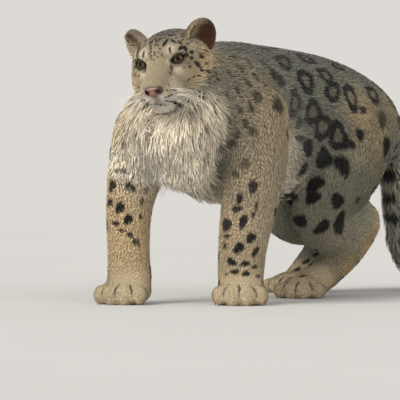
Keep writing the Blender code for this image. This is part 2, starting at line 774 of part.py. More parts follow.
def half_space(name, point, normal, group, grow):
    """A large block on the side of a plane that its normal points to."""
    size = 3.0
    bm = bmesh.new()
    bmesh.ops.create_cube(bm, size=size)
    turn = normal.normalized().to_track_quat("Z", "Y").to_matrix().to_4x4()
    place = Matrix.Translation(point - normal.normalized() * grow) @ turn @ Matrix.Translation((0, 0, size / 2))
    bmesh.ops.transform(bm, matrix=place, verts=bm.verts)
    return mesh_object(name, finish_bmesh(bm, name), group)


def leg_block(name, leg, turn_deg, group, grow):
    """The hull of a shoulder's or haunch's round and of the box that holds the rest of the leg."""
    x, y, z, *radii = leg["round"]
    low_x, high_x, low_y, high_y, top = leg["box"]
    ball = bmesh.new()
    blob(ball, Vector((x, y, z)), [radius + grow for radius in radii], plan_axes(turn_deg), 16, 10)
    points = [vert.co.copy() for vert in ball.verts]
    ball.free()
    for across in (low_x - grow, high_x + grow):
        for along in (low_y - grow, high_y + grow):
            points += [Vector((across, along, height)) for height in (-0.05, top + grow)]
    bm = bmesh.new()
    for point in points:
        bm.verts.new(point)
    hull = bmesh.ops.convex_hull(bm, input=bm.verts)
    spare = set(hull["geom_interior"] + hull["geom_unused"])
    bmesh.ops.delete(bm, geom=[item for item in spare if isinstance(item, bmesh.types.BMVert)], context="VERTS")
    return mesh_object(name, finish_bmesh(bm, name), group)


def tail_sleeve(name, group, grow):
    """A sleeve wider than the tail, from its root to past its tip."""
    rows = [(x, y, z, 1.35 * TAIL_RADIUS * share + grow, 1.35 * TAIL_RADIUS * share + grow)
            for x, y, z, share in TAIL[1:]]
    bm = bmesh.new()
    loft(bm, rows, TAIL_SIDE, sides=24, cap=0.7)
    return mesh_object(name, finish_bmesh(bm, name), group)


def part_off(whole, name, region, parts):
    """Moves what lies in a region out of the whole into a node of its own, a gap away from the rest.

    region(label, grow) makes the cutter."""
    piece = mesh_object(name, whole.data.copy(), parts)
    use(piece, "INTERSECT", region(name + "_inside", 0.0))
    use(whole, "DIFFERENCE", region(name + "_around", GAP))
    keep_largest(piece)
    keep_largest(whole)
    return piece


def build_body(parts, cutters):
    """The whole animal but the head, standing on its flats."""
    bm = bmesh.new()
    side = Vector((1, 0, 0))
    loft(bm, TORSO, side, cap=0.75)
    loft(bm, NECK, side, cap=0.4)
    loft(bm, THROAT, side, cap=0.6)
    for leg in LEGS.values():
        loft(bm, leg["path"], side, sides=24)
        paw(bm, *leg["paw"])
    tail = [(x, y, z, TAIL_RADIUS * share, TAIL_RADIUS * share) for x, y, z, share in TAIL]
    loft(bm, tail, TAIL_SIDE, sides=20)
    whole = fuse(bm, "torso", parts, BODY_VOXEL, 9, BODY_TRIANGLES)
    use(whole, "DIFFERENCE", half_space("floor_cut", Vector((0, 0, 0)), Vector((0, 0, -1)), cutters, 0))
    keep_largest(whole)
    return whole


def build_head(parts, cutters):
    """Head, eyes, nose and ears."""
    bm = bmesh.new()
    head_forms(bm)
    loft(bm, NECK, Vector((1, 0, 0)), cap=0.4)
    head = fuse(bm, "head", parts, HEAD_VOXEL, 6, HEAD_TRIANGLES)
    for sign, name in ((1, "left_eye"), (-1, "right_eye")):
        middle, axes = eye_frame(sign)

        def ball(label, radius, group):
            return single_blob(label, middle, (radius,) * 3, axes, group, 14, 8)

        use(head, "UNION", ball("lids", EYE_RADIUS + LID, cutters))
        use(head, "DIFFERENCE", eye_opening(sign, cutters))
        use(head, "DIFFERENCE", ball("socket", EYE_RADIUS + GAP, cutters))
        ball(name, EYE_RADIUS, parts)
    nose = build_nose(parts, cutters)
    use(head, "DIFFERENCE", grown(nose, cutters))
    keep_largest(head)
    use(head, "DIFFERENCE", groove("mouth", mouth_line(head), 0.0022, cutters))
    keep_largest(head)
    for sign in (1, -1):
        build_ear(sign, head, parts, cutters)
    use(head, "INTERSECT", half_space("head_side", *HEAD_PLANE, cutters, 0))
    keep_largest(head)


def paint(item, colour, roughness):
    """Gives an object a Principled material of its own, from an sRGB hex colour."""
    material = bpy.data.materials.new(item.name)
    material.use_nodes = True
    surface = material.node_tree.nodes["Principled BSDF"]
    levels = [int(colour[k:k + 2], 16) / 255 for k in (0, 2, 4)]
    linear = [level / 12.92 if level <= 0.04045 else ((level + 0.055) / 1.055) ** 2.4 for level in levels]
    surface.inputs["Base Color"].default_value = (*linear, 1.0)
    surface.inputs["Roughness"].default_value = roughness
    surface.inputs["Metallic"].default_value = 0.0
    item.data.materials.clear()
    item.data.materials.append(material)


def centre_on_floor(items):
    """Moves everything so that the middle of the whole box is over the origin."""
    places = [vert.co for item in items for vert in item.data.vertices]
    low = Vector([min(place[k] for place in places) for k in range(3)])
    high = Vector([max(place[k] for place in places) for k in range(3)])
    move = Matrix.Translation((-(low.x + high.x) / 2, -(low.y + high.y) / 2, -low.z))
    for item in items:
        item.data.transform(move)


def main():
    clear_scene()
    parts = new_collection("snow_leopard")
    cutters = new_collection("cutters")
    whole = build_body(parts, cutters)
    build_head(parts, cutters)

    def beyond(plane):
        return lambda label, grow: half_space(label, *plane, cutters, grow)

    use(whole, "DIFFERENCE", half_space("under_head", *HEAD_PLANE, cutters, GAP))
    keep_largest(whole)
    part_off(whole, "neck", beyond(NECK_PLANE), parts)
    for name, leg in LEGS.items():
        turn = FORE_TURN if "fore" in name else HIND_TURN

        def region(label, grow, leg=leg, turn=turn):
            return leg_block(label, leg, turn, cutters, grow)

        limb = part_off(whole, name, region, parts)
        ankle = (Vector((0, 0, PAW_SPLIT)), Vector((0, 0, -1)))
        part_off(limb, name.replace("leg", "_paw"), beyond(ankle), parts)
    part_off(whole, "chest", beyond(CHEST_PLANE), parts)
    tail = part_off(whole, "tail_root", lambda label, grow: tail_sleeve(label, cutters, grow), parts)
    for name, station in (("tail_bend", 4), ("tail_middle", 6), ("tail_tip", 8)):
        along = Vector(TAIL[station + 1][:3]) - Vector(TAIL[station - 1][:3])
        tail = part_off(tail, name, beyond((Vector(TAIL[station][:3]), along)), parts)

    coat = Coat({item.name: item for item in parts.objects if item.name not in BARE})
    for grow_locks in (cheek_locks, bib_locks, belly_locks, haunch_locks, foreleg_locks, tail_locks):
        grow_locks(coat)
    coat.join(LOCK_ORDER)
    for item in parts.objects:
        use(item, "DIFFERENCE", half_space("floor_cut", Vector((0, 0, 0)), Vector((0, 0, -1)), cutters, 0))
        keep_largest(item)

    bpy.data.collections.remove(cutters)
    for item in parts.objects:
        item.data.shade_smooth()
        paint(item, *FINISHES[item.name])
    centre_on_floor(parts.objects)


main()
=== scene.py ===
"""Looks of the snow leopard: one skin, a coat of tufts, ears, eyes, nose leather and whiskers.

Metres, +Z up. Shapes are worked out in the animal's own frame, where its head is at -Y and its left at +X,
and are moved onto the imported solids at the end.
"""

import json
import math
import random

import bmesh
import bpy
import numpy as np
from mathutils import Matrix, Vector, noise
from mathutils.bvhtree import BVHTree


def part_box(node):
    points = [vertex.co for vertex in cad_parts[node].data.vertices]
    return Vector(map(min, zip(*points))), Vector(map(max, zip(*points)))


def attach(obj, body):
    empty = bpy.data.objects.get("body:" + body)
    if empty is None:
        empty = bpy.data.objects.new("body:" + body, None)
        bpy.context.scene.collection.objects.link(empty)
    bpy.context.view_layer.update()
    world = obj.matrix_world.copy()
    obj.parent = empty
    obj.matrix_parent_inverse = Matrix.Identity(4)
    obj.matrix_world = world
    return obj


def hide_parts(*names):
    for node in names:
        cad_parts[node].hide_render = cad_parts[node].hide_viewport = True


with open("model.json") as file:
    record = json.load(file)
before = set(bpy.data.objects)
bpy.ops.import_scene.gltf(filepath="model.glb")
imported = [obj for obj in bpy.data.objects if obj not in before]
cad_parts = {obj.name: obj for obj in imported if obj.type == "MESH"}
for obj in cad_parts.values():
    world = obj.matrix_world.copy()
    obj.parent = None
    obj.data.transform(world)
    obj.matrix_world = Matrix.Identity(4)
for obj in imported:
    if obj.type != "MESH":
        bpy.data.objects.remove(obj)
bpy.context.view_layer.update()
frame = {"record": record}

SEED = 11

# The skin: how fine each part of it is fused, and how often it is smoothed
BODY_VOXEL = 0.0058
HEAD_VOXEL = 0.0024
EAR_VOXEL = 0.0016
NOSE_VOXEL = 0.0007
SKIN_SMOOTHING = 14

# Sizes of the body, in metres
PAW_LENGTH = 0.125
PAW_WIDTH = 0.118
TOE_SPACING = 0.26  # over the paw's width
FORE_PAW_HEIGHT = 0.070
HIND_PAW_HEIGHT = 0.058
TAIL_RADIUS = 0.037
TAIL_SIDE = Vector((0.95, 0.1, 0.3))

# Eyes: the opening is its half length, then its rise above and below; a lid's skin lies over the ball
EYE_RADIUS = 0.0165
EYE_SPACING = 0.080
EYE_TURN = math.radians(16)
EYE_SLANT = math.radians(14)
EYE_OPENING = (0.0152, 0.0068, 0.0068)
LID = 0.0045
LID_CURVE = 2.2
IRIS_RADIUS = 0.0118
PUPIL_RADIUS = 0.0042

# Ears: the root from between the eyes, forwards, left and up; the size is half width, half depth and height
EAR_ROOT = (-0.072, 0.071, 0.030)
EAR_SIZE = (0.037, 0.023, 0.048)
EAR_SPLAY = math.radians(32)
EAR_TURN = math.radians(46)
EAR_LEAN = math.radians(12)
EAR_SUNK = 0.014

# The head's place: the point midway between the eyes, and how the head is turned
MID_EYE = Vector((-0.0015, -0.345, 0.5255))
HEAD_YAW = math.radians(14)
HEAD_PITCH = math.radians(10)
HEAD_ROLL = math.radians(7.5)
HEAD_PLANE = (Vector((-0.010, -0.262, 0.505)), Vector((0.05, -0.86, 0.50)))

# The photograph's camera: its turn, rise and distance, pixels to a unit of slope, and the pixel on its axis
CAMERA_TURN = math.radians(34)
CAMERA_RISE = math.radians(3)
CAMERA_DISTANCE = 5.5
PIXELS = 2420.0
AXIS_PIXEL = (250.0, 299.0)
IMAGE_SIZE = 400

# Where the throat's coat runs into the right shoulder: middle and half sizes
SHOULDER_FILL = ((-0.088, -0.280, 0.370), (0.046, 0.041, 0.078))

# Torso stations from the rump to the breast: x, y, z of the middle, half width, half height
TORSO = (
    (0.056, 0.466, 0.374, 0.082, 0.078),
    (0.046, 0.425, 0.382, 0.112, 0.112),
    (0.032, 0.360, 0.389, 0.134, 0.140),
    (0.008, 0.260, 0.400, 0.144, 0.161),
    (-0.012, 0.140, 0.405, 0.144, 0.171),
    (-0.022, 0.020, 0.404, 0.144, 0.178),
    (-0.024, -0.080, 0.405, 0.143, 0.178),
    (-0.020, -0.170, 0.402, 0.138, 0.163),
    (-0.010, -0.240, 0.392, 0.120, 0.132),
    (-0.004, -0.280, 0.388, 0.092, 0.096),
)
# Neck stations from the withers to the skull
NECK = (
    (-0.022, -0.060, 0.450, 0.120, 0.125),
    (-0.020, -0.150, 0.472, 0.108, 0.110),
    (-0.018, -0.220, 0.490, 0.092, 0.094),
    (-0.016, -0.262, 0.504, 0.082, 0.080),
)
# Throat stations from under the jaw to the breast
THROAT = (
    (-0.012, -0.232, 0.440, 0.082, 0.078),
    (-0.006, -0.268, 0.400, 0.086, 0.066),
    (-0.002, -0.270, 0.345, 0.082, 0.056),
    (-0.012, -0.246, 0.296, 0.080, 0.048),
)
# Tail stations from the root to the tip: x, y, z and the share of its full thickness
TAIL = (
    (0.056, 0.465, 0.388, 1.05),
    (0.057, 0.515, 0.346, 1.00),
    (0.058, 0.548, 0.275, 0.96),
    (0.060, 0.562, 0.190, 0.96),
    (0.070, 0.573, 0.108, 0.98),
    (0.106, 0.592, 0.050, 1.00),
    (0.170, 0.616, 0.034, 1.00),
    (0.270, 0.622, 0.033, 1.00),
    (0.365, 0.585, 0.033, 0.98),
    (0.420, 0.522, 0.034, 0.95),
    (0.446, 0.447, 0.046, 0.88),
    (0.442, 0.382, 0.070, 0.72),
)
TAIL_LINE = [(x, y, z, TAIL_RADIUS * share, TAIL_RADIUS * share) for x, y, z, share in TAIL]
# The lips from corner to corner, from between the eyes: forwards, left and up
LIPS = ((0.014, 0.040, -0.083), (0.034, 0.040, -0.087), (0.056, 0.030, -0.088), (0.070, 0.014, -0.084),
        (0.074, 0.0, -0.080), (0.070, -0.014, -0.084), (0.056, -0.030, -0.088), (0.034, -0.040, -0.087),
        (0.014, -0.040, -0.083))
# Each leg's path of x, y, z, half width, half depth, and its paw's x, y, turn in plan and height
LEGS = {
    "left_foreleg": (
        ((0.092, -0.105, 0.430, 0.062, 0.085), (0.104, -0.130, 0.360, 0.068, 0.088),
         (0.110, -0.145, 0.285, 0.066, 0.078), (0.108, -0.165, 0.210, 0.060, 0.066),
         (0.103, -0.178, 0.140, 0.055, 0.058), (0.101, -0.184, 0.085, 0.052, 0.053),
         (0.102, -0.188, 0.050, 0.050, 0.050)),
        (0.112, -0.200, -30, FORE_PAW_HEIGHT)),
    "right_foreleg": (
        ((-0.120, -0.165, 0.430, 0.060, 0.085), (-0.136, -0.215, 0.360, 0.066, 0.088),
         (-0.138, -0.250, 0.285, 0.058, 0.070), (-0.136, -0.275, 0.210, 0.050, 0.057),
         (-0.127, -0.290, 0.140, 0.047, 0.051), (-0.120, -0.297, 0.085, 0.047, 0.050),
         (-0.114, -0.303, 0.050, 0.050, 0.050)),
        (-0.110, -0.318, -14, FORE_PAW_HEIGHT)),
    "left_hindleg": (
        ((0.080, 0.340, 0.385, 0.080, 0.110), (0.095, 0.265, 0.315, 0.076, 0.110),
         (0.095, 0.185, 0.245, 0.066, 0.088), (0.088, 0.145, 0.185, 0.058, 0.064),
         (0.100, 0.200, 0.152, 0.052, 0.062), (0.114, 0.268, 0.176, 0.045, 0.050),
         (0.116, 0.303, 0.168, 0.042, 0.044), (0.100, 0.258, 0.106, 0.041, 0.041),
         (0.078, 0.205, 0.060, 0.043, 0.037), (0.068, 0.165, 0.036, 0.046, 0.034)),
        (0.063, 0.130, -16, HIND_PAW_HEIGHT)),
    "right_hindleg": (
        ((-0.030, 0.380, 0.385, 0.080, 0.110), (-0.062, 0.330, 0.315, 0.076, 0.108),
         (-0.080, 0.285, 0.250, 0.066, 0.086), (-0.086, 0.270, 0.200, 0.058, 0.066),
         (-0.078, 0.345, 0.172, 0.050, 0.062), (-0.066, 0.430, 0.192, 0.044, 0.050),
         (-0.064, 0.462, 0.178, 0.042, 0.044), (-0.070, 0.425, 0.114, 0.041, 0.041),
         (-0.078, 0.378, 0.062, 0.043, 0.037), (-0.082, 0.345, 0.036, 0.046, 0.034)),
        (-0.086, 0.315, 0, HIND_PAW_HEIGHT)),
}


def mesh_object(name, mesh):
    item = bpy.data.objects.new(name, mesh)
    bpy.context.scene.collection.objects.link(item)
    return item


def finish_bmesh(bm, name):
    bmesh.ops.recalc_face_normals(bm, faces=bm.faces)
    mesh = bpy.data.meshes.new(name)
    bm.to_mesh(mesh)
    bm.free()
    return mesh


def apply_modifiers(item):
    graph = bpy.context.evaluated_depsgraph_get()
    mesh = bpy.data.meshes.new_from_object(item.evaluated_get(graph), depsgraph=graph)
    item.modifiers.clear()
    item.data = mesh


def boolean(item, operation, other):
    """One Boolean, with its tool removed afterwards."""
    step = item.modifiers.new(operation, "BOOLEAN")
    step.operation = operation
    step.solver = "MANIFOLD"
    step.object = other
    apply_modifiers(item)
    bpy.data.objects.remove(other)


def fuse(item, voxel, smoothing):
    """Turns an object into one closed skin round all its shells, evened out."""
    remesh = item.modifiers.new("Fuse", "REMESH")
    remesh.mode = "VOXEL"
    remesh.voxel_size = voxel
    smooth = item.modifiers.new("Smooth", "SMOOTH")
    smooth.factor = 0.5
    smooth.iterations = smoothing
    apply_modifiers(item)


def fused(bm, name, voxel, smoothing):
    """One closed skin round everything in bm."""
    item = mesh_object(name, finish_bmesh(bm, name))
    fuse(item, voxel, smoothing)
    return item


def catmull_rom(a, b, c, d, t):
    """One value on the smooth curve from b to c."""
    return 0.5 * (2 * b + (c - a) * t + (2 * a - 5 * b + 4 * c - d) * t * t
                  + (3 * b - a - 3 * c + d) * t * t * t)


def smooth_stations(stations, steps):
    """The stations with more between them, on a smooth curve through them."""
    last = len(stations) - 1
    found = []
    for i in range(last):
        near = [stations[max(0, min(last, i + k))] for k in (-1, 0, 1, 2)]
        for step in range(steps):
            t = step / steps
            found.append([catmull_rom(*values, t) for values in zip(*near)])
    found.append(list(stations[-1]))
    return found


def loft(bm, stations, side, sides=28, steps=4, cap=0.8):
    """A closed tube through stations of x, y, z, half width and half height, with domed ends."""
    rows = smooth_stations(stations, steps)
    centres = [Vector(row[:3]) for row in rows]
    rings = []
    for i, row in enumerate(rows):
        along = (centres[min(i + 1, len(rows) - 1)] - centres[max(i - 1, 0)]).normalized()
        across = (side - along * side.dot(along)).normalized()
        rings.append((centres[i], across, along.cross(across), along, row[3], row[4]))
    domes = []
    for end, sign in ((rings[0], -1), (rings[-1], 1)):
        centre, across, lift, along, width, height = end
        reach = cap * min(width, height)
        dome = []
        for turn in (25, 50, 72):
            angle = math.radians(turn)
            shift = along * sign * reach * math.sin(angle)
            share = math.cos(angle)
            dome.append((centre + shift, across, lift, along, width * share, height * share))
        domes.append((dome, centre + along * sign * reach))
    rings = domes[0][0][::-1] + rings + domes[1][0]
    loops = []
    angles = [2 * math.pi * k / sides for k in range(sides)]
    for centre, across, lift, _, width, height in rings:
        loops.append([bm.verts.new(centre + across * width * math.cos(angle)
                                   + lift * height * math.sin(angle)) for angle in angles])
    for first, second in zip(loops, loops[1:]):
        for k in range(sides):
            bm.faces.new((first[k], first[(k + 1) % sides], second[(k + 1) % sides], second[k]))
    for loop, (_, tip) in ((loops[0], domes[0]), (loops[-1], domes[1])):
        pole = bm.verts.new(tip)
        for k in range(sides):
            bm.faces.new((loop[(k + 1) % sides], loop[k], pole))


def blob(bm, centre, radii, turn, segments=24, rings=16):
    """An ellipsoid, turned by a 3x3 matrix whose columns are its own axes."""
    made = bmesh.ops.create_uvsphere(bm, u_segments=segments, v_segments=rings, radius=1.0)
    matrix = Matrix.Translation(centre) @ turn.to_4x4() @ Matrix.Diagonal((*radii, 1))
    bmesh.ops.transform(bm, matrix=matrix, verts=made["verts"])


def single_blob(name, centre, radii, turn, segments=40, rings=24):
    bm = bmesh.new()
    blob(bm, centre, radii, turn, segments, rings)
    return mesh_object(name, finish_bmesh(bm, name))


def half_space(name, point, normal):
    """A large block on the side of a plane that its normal points to."""
    size = 3.0
    bm = bmesh.new()
    bmesh.ops.create_cube(bm, size=size)
    turn = normal.normalized().to_track_quat("Z", "Y").to_matrix().to_4x4()
    bmesh.ops.transform(bm, matrix=Matrix.Translation(point) @ turn @ Matrix.Translation((0, 0, size / 2)),
                        verts=bm.verts)
    return mesh_object(name, finish_bmesh(bm, name))


def plan_axes(turn_deg):
    """Columns: left, backwards and up, for a stretch of the body turned in plan."""
    turn = math.radians(turn_deg)
    back = Vector((math.sin(turn), math.cos(turn), 0))
    left = Vector((back.y, -back.x, 0))
    return Matrix((left, back, Vector((0, 0, 1)))).transposed()


def paw(bm, x, y, turn_deg, height):
    """A broad furred paw with four toes, its sole a little under the floor so that the cut there is flat."""
    axes = plan_axes(turn_deg)
    length, width = PAW_LENGTH, PAW_WIDTH
    middle = Vector((x, y, 0.40 * height))
    blob(bm, middle, (0.47 * width, 0.46 * length, 0.50 * height), axes)
    for rank in (-1.5, -0.5, 0.5, 1.5):
        outer = abs(rank) > 1
        reach = 0.30 if outer else 0.40
        tall = 0.33 if outer else 0.37
        offset = axes @ Vector((rank * TOE_SPACING * width, -reach * length, -0.10 * height))
        blob(bm, middle + offset, (0.150 * width, 0.185 * length, tall * height), axes)


def head_axes():
    """Columns: forwards, left and up of the head."""
    heading = Vector((math.sin(HEAD_YAW), -math.cos(HEAD_YAW), 0))
    forwards = heading * math.cos(HEAD_PITCH) - Vector((0, 0, math.sin(HEAD_PITCH)))
    level_left = Vector((-heading.y, heading.x, 0))
    level_up = forwards.cross(level_left)
    left = level_left * math.cos(HEAD_ROLL) + level_up * math.sin(HEAD_ROLL)
    up = level_up * math.cos(HEAD_ROLL) - level_left * math.sin(HEAD_ROLL)
    return Matrix((forwards, left, up)).transposed()


def head_point(forwards, left, up):
    """A point given from between the eyes, along the head's own axes."""
    return MID_EYE + head_axes() @ Vector((forwards, left, up))


def head_forms(bm):
    """Cranium, forehead, brows, cheeks, muzzle, whisker pads, jaw and chin."""
    axes = head_axes()

    def form(forwards, left, up, radii):
        blob(bm, head_point(forwards, left, up), radii, axes)

    def tube(stations, cap):
        loft(bm, [(*head_point(*row[:3]), row[3], row[4]) for row in stations], axes.col[1], cap=cap)

    form(-0.080, 0, -0.004, (0.088, 0.081, 0.066))
    form(-0.044, 0, 0.012, (0.060, 0.060, 0.044))
    for sign in (-1, 1):
        form(-0.072, sign * 0.050, -0.040, (0.062, 0.048, 0.060))
        form(-0.062, sign * 0.050, -0.012, (0.054, 0.038, 0.052))
        form(-0.034, sign * 0.044, -0.036, (0.042, 0.036, 0.038))
        form(-0.014, sign * 0.036, 0.018, (0.022, 0.029, 0.014))
        form(0.036, sign * 0.0195, -0.068, (0.030, 0.0235, 0.0215))
        form(0.014, sign * 0.026, -0.056, (0.030, 0.023, 0.028))
    tube([(-0.030, 0, -0.014, 0.040, 0.038), (0.012, 0, -0.025, 0.030, 0.034),
          (0.040, 0, -0.040, 0.0265, 0.026), (0.058, 0, -0.050, 0.0225, 0.019)], 0.55)
    tube([(-0.070, 0, -0.075, 0.055, 0.034), (-0.020, 0, -0.085, 0.040, 0.026),
          (0.034, 0, -0.094, 0.024, 0.016)], 0.7)


def eye_frame(sign):
    """The eyeball's middle, and axes whose columns point out of the eye, to its left and up."""
    axes = head_axes()
    middle = head_point(-0.0125, sign * EYE_SPACING / 2, 0.0)
    look = axes @ Vector((math.cos(EYE_TURN), sign * math.sin(EYE_TURN), 0.05)).normalized()
    left = axes.col[2].cross(look).normalized()
    left = Matrix.Rotation(sign * EYE_SLANT, 3, look) @ left
    return middle, Matrix((look, left, look.cross(left))).transposed()


def eye_opening(sign):
    """An almond prism that opens the lids in front of an eyeball."""
    middle, axes = eye_frame(sign)
    half, upper, lower = EYE_OPENING
    outline = []
    steps = 16
    for rise, start, stop in ((upper, -1, 1), (-lower, 1, -1)):
        for k in range(steps):
            across = start + (stop - start) * k / steps
            outline.append((half * across, rise * (1 - abs(across) ** LID_CURVE)))
    bm = bmesh.new()
    loops = [[bm.verts.new(middle + axes @ Vector((reach, y, z))) for y, z in outline]
             for reach in (0.2 * EYE_RADIUS, 3.0 * EYE_RADIUS)]
    bm.faces.new(loops[0])
    bm.faces.new(loops[1][::-1])
    count = len(outline)
    for k in range(count):
        bm.faces.new((loops[0][k], loops[1][k], loops[1][(k + 1) % count], loops[0][(k + 1) % count]))
    return mesh_object("opening", finish_bmesh(bm, "opening"))


def nose_leather():
    """The bare nose pad with its two nostrils, as a closed piece."""
    axes = head_axes()
    bm = bmesh.new()
    blob(bm, head_point(0.062, 0, -0.0515), (0.0125, 0.0200, 0.0078), axes)
    blob(bm, head_point(0.062, 0, -0.058), (0.0115, 0.0110, 0.0110), axes)
    for sign in (-1, 1):
        blob(bm, head_point(0.060, sign * 0.0130, -0.0545), (0.0120, 0.0085, 0.0095), axes)
    nose = fused(bm, "nose_leather", NOSE_VOXEL, 8)
    for sign in (-1, 1):
        aside = Matrix.Rotation(sign * math.radians(28), 3, "Z")
        rolled = Matrix.Rotation(sign * math.radians(25), 3, "X")
        nostril = single_blob("nostril", head_point(0.0730, sign * 0.0130, -0.0560),
                              (0.0100, 0.0060, 0.0034), axes @ aside @ rolled, 24, 16)
        boolean(nose, "DIFFERENCE", nostril)
    philtrum = [(*head_point(0.0765, 0, -0.058 - 0.004 * k), 0.0008, 0.0008) for k in range(4)]
    bm = bmesh.new()
    loft(bm, philtrum, axes.col[1], sides=8, steps=2)
    boolean(nose, "DIFFERENCE", mesh_object("philtrum", finish_bmesh(bm, "philtrum")))
    return nose


def mouth_groove(head):
    """The line of the lips as a thin closed tube laid on the muzzle, thinner at its corners."""
    rows = []
    for k, place in enumerate(LIPS):
        radius = 0.0022 if 0 < k < len(LIPS) - 1 else 0.0022 * 0.4
        rows.append((*head.closest_point_on_mesh(head_point(*place))[1], radius, radius))
    bm = bmesh.new()
    loft(bm, rows, Vector((0.1, 0.2, 1)), sides=8, steps=4, cap=0.5)
    return mesh_object("lips", finish_bmesh(bm, "lips"))


def build_skin():
    """The whole animal's skin as the outline of its coat, before it is sunk by the coat's depth."""
    side = Vector((1, 0, 0))
    bm = bmesh.new()
    loft(bm, TORSO, side, cap=0.75)
    loft(bm, NECK, side, cap=0.4)
    loft(bm, THROAT, side, cap=0.6)
    blob(bm, Vector(SHOULDER_FILL[0]), SHOULDER_FILL[1], plan_axes(0))
    for path, foot in LEGS.values():
        loft(bm, path, side, sides=24)
        paw(bm, *foot)
    loft(bm, TAIL_LINE, TAIL_SIDE, sides=20)
    body = fused(bm, "skin", BODY_VOXEL, SKIN_SMOOTHING)
    boolean(body, "DIFFERENCE", half_space("floor_cut", Vector((0, 0, 0.0005)), Vector((0, 0, -1))))
    boolean(body, "DIFFERENCE", half_space("under_head", *HEAD_PLANE))

    bm = bmesh.new()
    head_forms(bm)
    loft(bm, NECK, side, cap=0.4)
    head = fused(bm, "head", HEAD_VOXEL, SKIN_SMOOTHING)
    for sign in (1, -1):
        middle, axes = eye_frame(sign)
        boolean(head, "UNION", single_blob("lids", middle, (EYE_RADIUS + LID,) * 3, axes))
        boolean(head, "DIFFERENCE", eye_opening(sign))
        boolean(head, "DIFFERENCE", single_blob("socket", middle, (EYE_RADIUS + 0.0002,) * 3, axes))
    boolean(head, "DIFFERENCE", mouth_groove(head))
    point, normal = HEAD_PLANE
    boolean(head, "INTERSECT", half_space("head_side", point - normal.normalized() * 0.004, normal))
    boolean(body, "UNION", head)
    bm = bmesh.new()
    bm.from_mesh(body.data)
    bmesh.ops.remove_doubles(bm, verts=bm.verts, dist=2e-5)
    bm.to_mesh(body.data)
    bm.free()
    return body


def build_ear(sign):
    """A short round ear, a dome hollowed from the front into a cup, with its root and its axes."""
    axes = head_axes()
    forwards = axes @ Vector((math.cos(EAR_TURN), sign * math.sin(EAR_TURN), 0))
    up = axes @ Vector((-math.sin(EAR_LEAN), sign * math.sin(EAR_SPLAY), math.cos(EAR_LEAN)))
    up.normalize()
    left = up.cross(forwards).normalized()
    turn = Matrix((left.cross(up), left, up)).transposed()
    root = head_point(EAR_ROOT[0], sign * EAR_ROOT[1], EAR_ROOT[2])
    half, depth, height = EAR_SIZE
    size = (depth - 0.002, half - 0.002, height - 0.002)
    ear = single_blob(("right_ear_skin", "left_ear_skin")[sign > 0], root, size, turn)
    hollow = root + turn @ Vector((0.62 * depth, 0, 0.10 * height))
    boolean(ear, "DIFFERENCE", single_blob("cup", hollow, (0.95 * depth, 0.78 * half, 0.76 * height), turn))
    boolean(ear, "DIFFERENCE", half_space("under_ear", root - up * EAR_SUNK, -up))
    fuse(ear, EAR_VOXEL, 4)
    return ear, root, turn


def hex_levels(colour):
    """An sRGB hex colour as three levels from 0 to 1, still sRGB."""
    return np.array([int(colour[k:k + 2], 16) / 255 for k in (0, 2, 4)])


def linear(levels):
    """sRGB levels turned to linear light."""
    levels = np.asarray(levels, float)
    return np.where(levels <= 0.04045, levels / 12.92, ((levels + 0.055) / 1.055) ** 2.4)


def smoothstep(low, high, value):
    t = np.clip((value - low) / (high - low), 0, 1)
    return t * t * (3 - 2 * t)


def unit(vectors):
    return vectors / np.maximum(np.linalg.norm(vectors, axis=-1, keepdims=True), 1e-9)


def blended(first, second, share):
    """Rows of first turned into second by a share for each row."""
    return first + (second - first) * share[:, None]


HEAD_AXES = np.array(head_axes())
HEAD_LINE = [(*head_point(*place), radius, radius) for *place, radius in
             ((-0.095, 0, -0.015, 0.085), (-0.045, 0, -0.018, 0.080), (0.010, 0, -0.050, 0.062),
              (0.055, 0, -0.066, 0.055))]

# Each stretch of coat: its line of x, y, z and two half widths; which way along it the coat lies; then its
# sizes (length, spacing, width, how high the tips stand, how deep the skin lies under them) and its colour
COATS = {
    "torso": (TORSO, -1, 0.0145, 0.0037, 0.0028, 0.0052, 0.0055, "7f7f70"),
    "neck": (NECK, -1, 0.028, 0.0038, 0.0031, 0.0090, 0.0085, "a0957f"),
    "throat": (THROAT, 1, 0.056, 0.0038, 0.0030, 0.0125, 0.0080, "fff1d8"),
    "tail": (TAIL_LINE, 1, 0.042, 0.0044, 0.0040, 0.0140, 0.0080, "9d9a8a"),
    "head": (HEAD_LINE, -1, 0.0048, 0.0016, 0.0013, 0.0015, 0.0014, "b7a98e"),
    # painted shade: the left legs, on the side turned away from the key light, are given darker colours than
    # the right ones
    "left_foreleg": (LEGS["left_foreleg"][0], 1, 0.011, 0.0036, 0.0029, 0.0036, 0.0035, "c4b496"),
    "right_foreleg": (LEGS["right_foreleg"][0], 1, 0.011, 0.0036, 0.0029, 0.0036, 0.0035, "d6bf97"),
    "left_hindleg": (LEGS["left_hindleg"][0], 1, 0.012, 0.0034, 0.0026, 0.0040, 0.0040, "918f7c"),
    "right_hindleg": (LEGS["right_hindleg"][0], 1, 0.012, 0.0034, 0.0026, 0.0040, 0.0040, "9c9a86"),
}
# Sizes of the coat, in the same order, where it is longer or shorter than in the rest of its stretch
BELLY_COAT = np.array([0.055, 0.0044, 0.0038, 0.0170, 0.0080])
BREAST_COAT = np.array([0.056, 0.0038, 0.0030, 0.0125, 0.0080])
HAUNCH_COAT = np.array([0.019, 0.0036, 0.0028, 0.0062, 0.0062])
PAW_COAT = np.array([0.0075, 0.0027, 0.0021, 0.0024, 0.0022])
CHEEK_COAT = np.array([0.042, 0.0036, 0.0030, 0.0125, 0.0065])
CROWN_COAT = np.array([0.012, 0.0024, 0.0019, 0.0034, 0.0034])
JAW_COAT = np.array([0.030, 0.0032, 0.0026, 0.0080, 0.0050])
EAR_COAT = np.array([0.0075, 0.0019, 0.0018, 0.0020, 0.0])
EAR_LINING = np.array([0.012, 0.0022, 0.0018, 0.0045, 0.0])

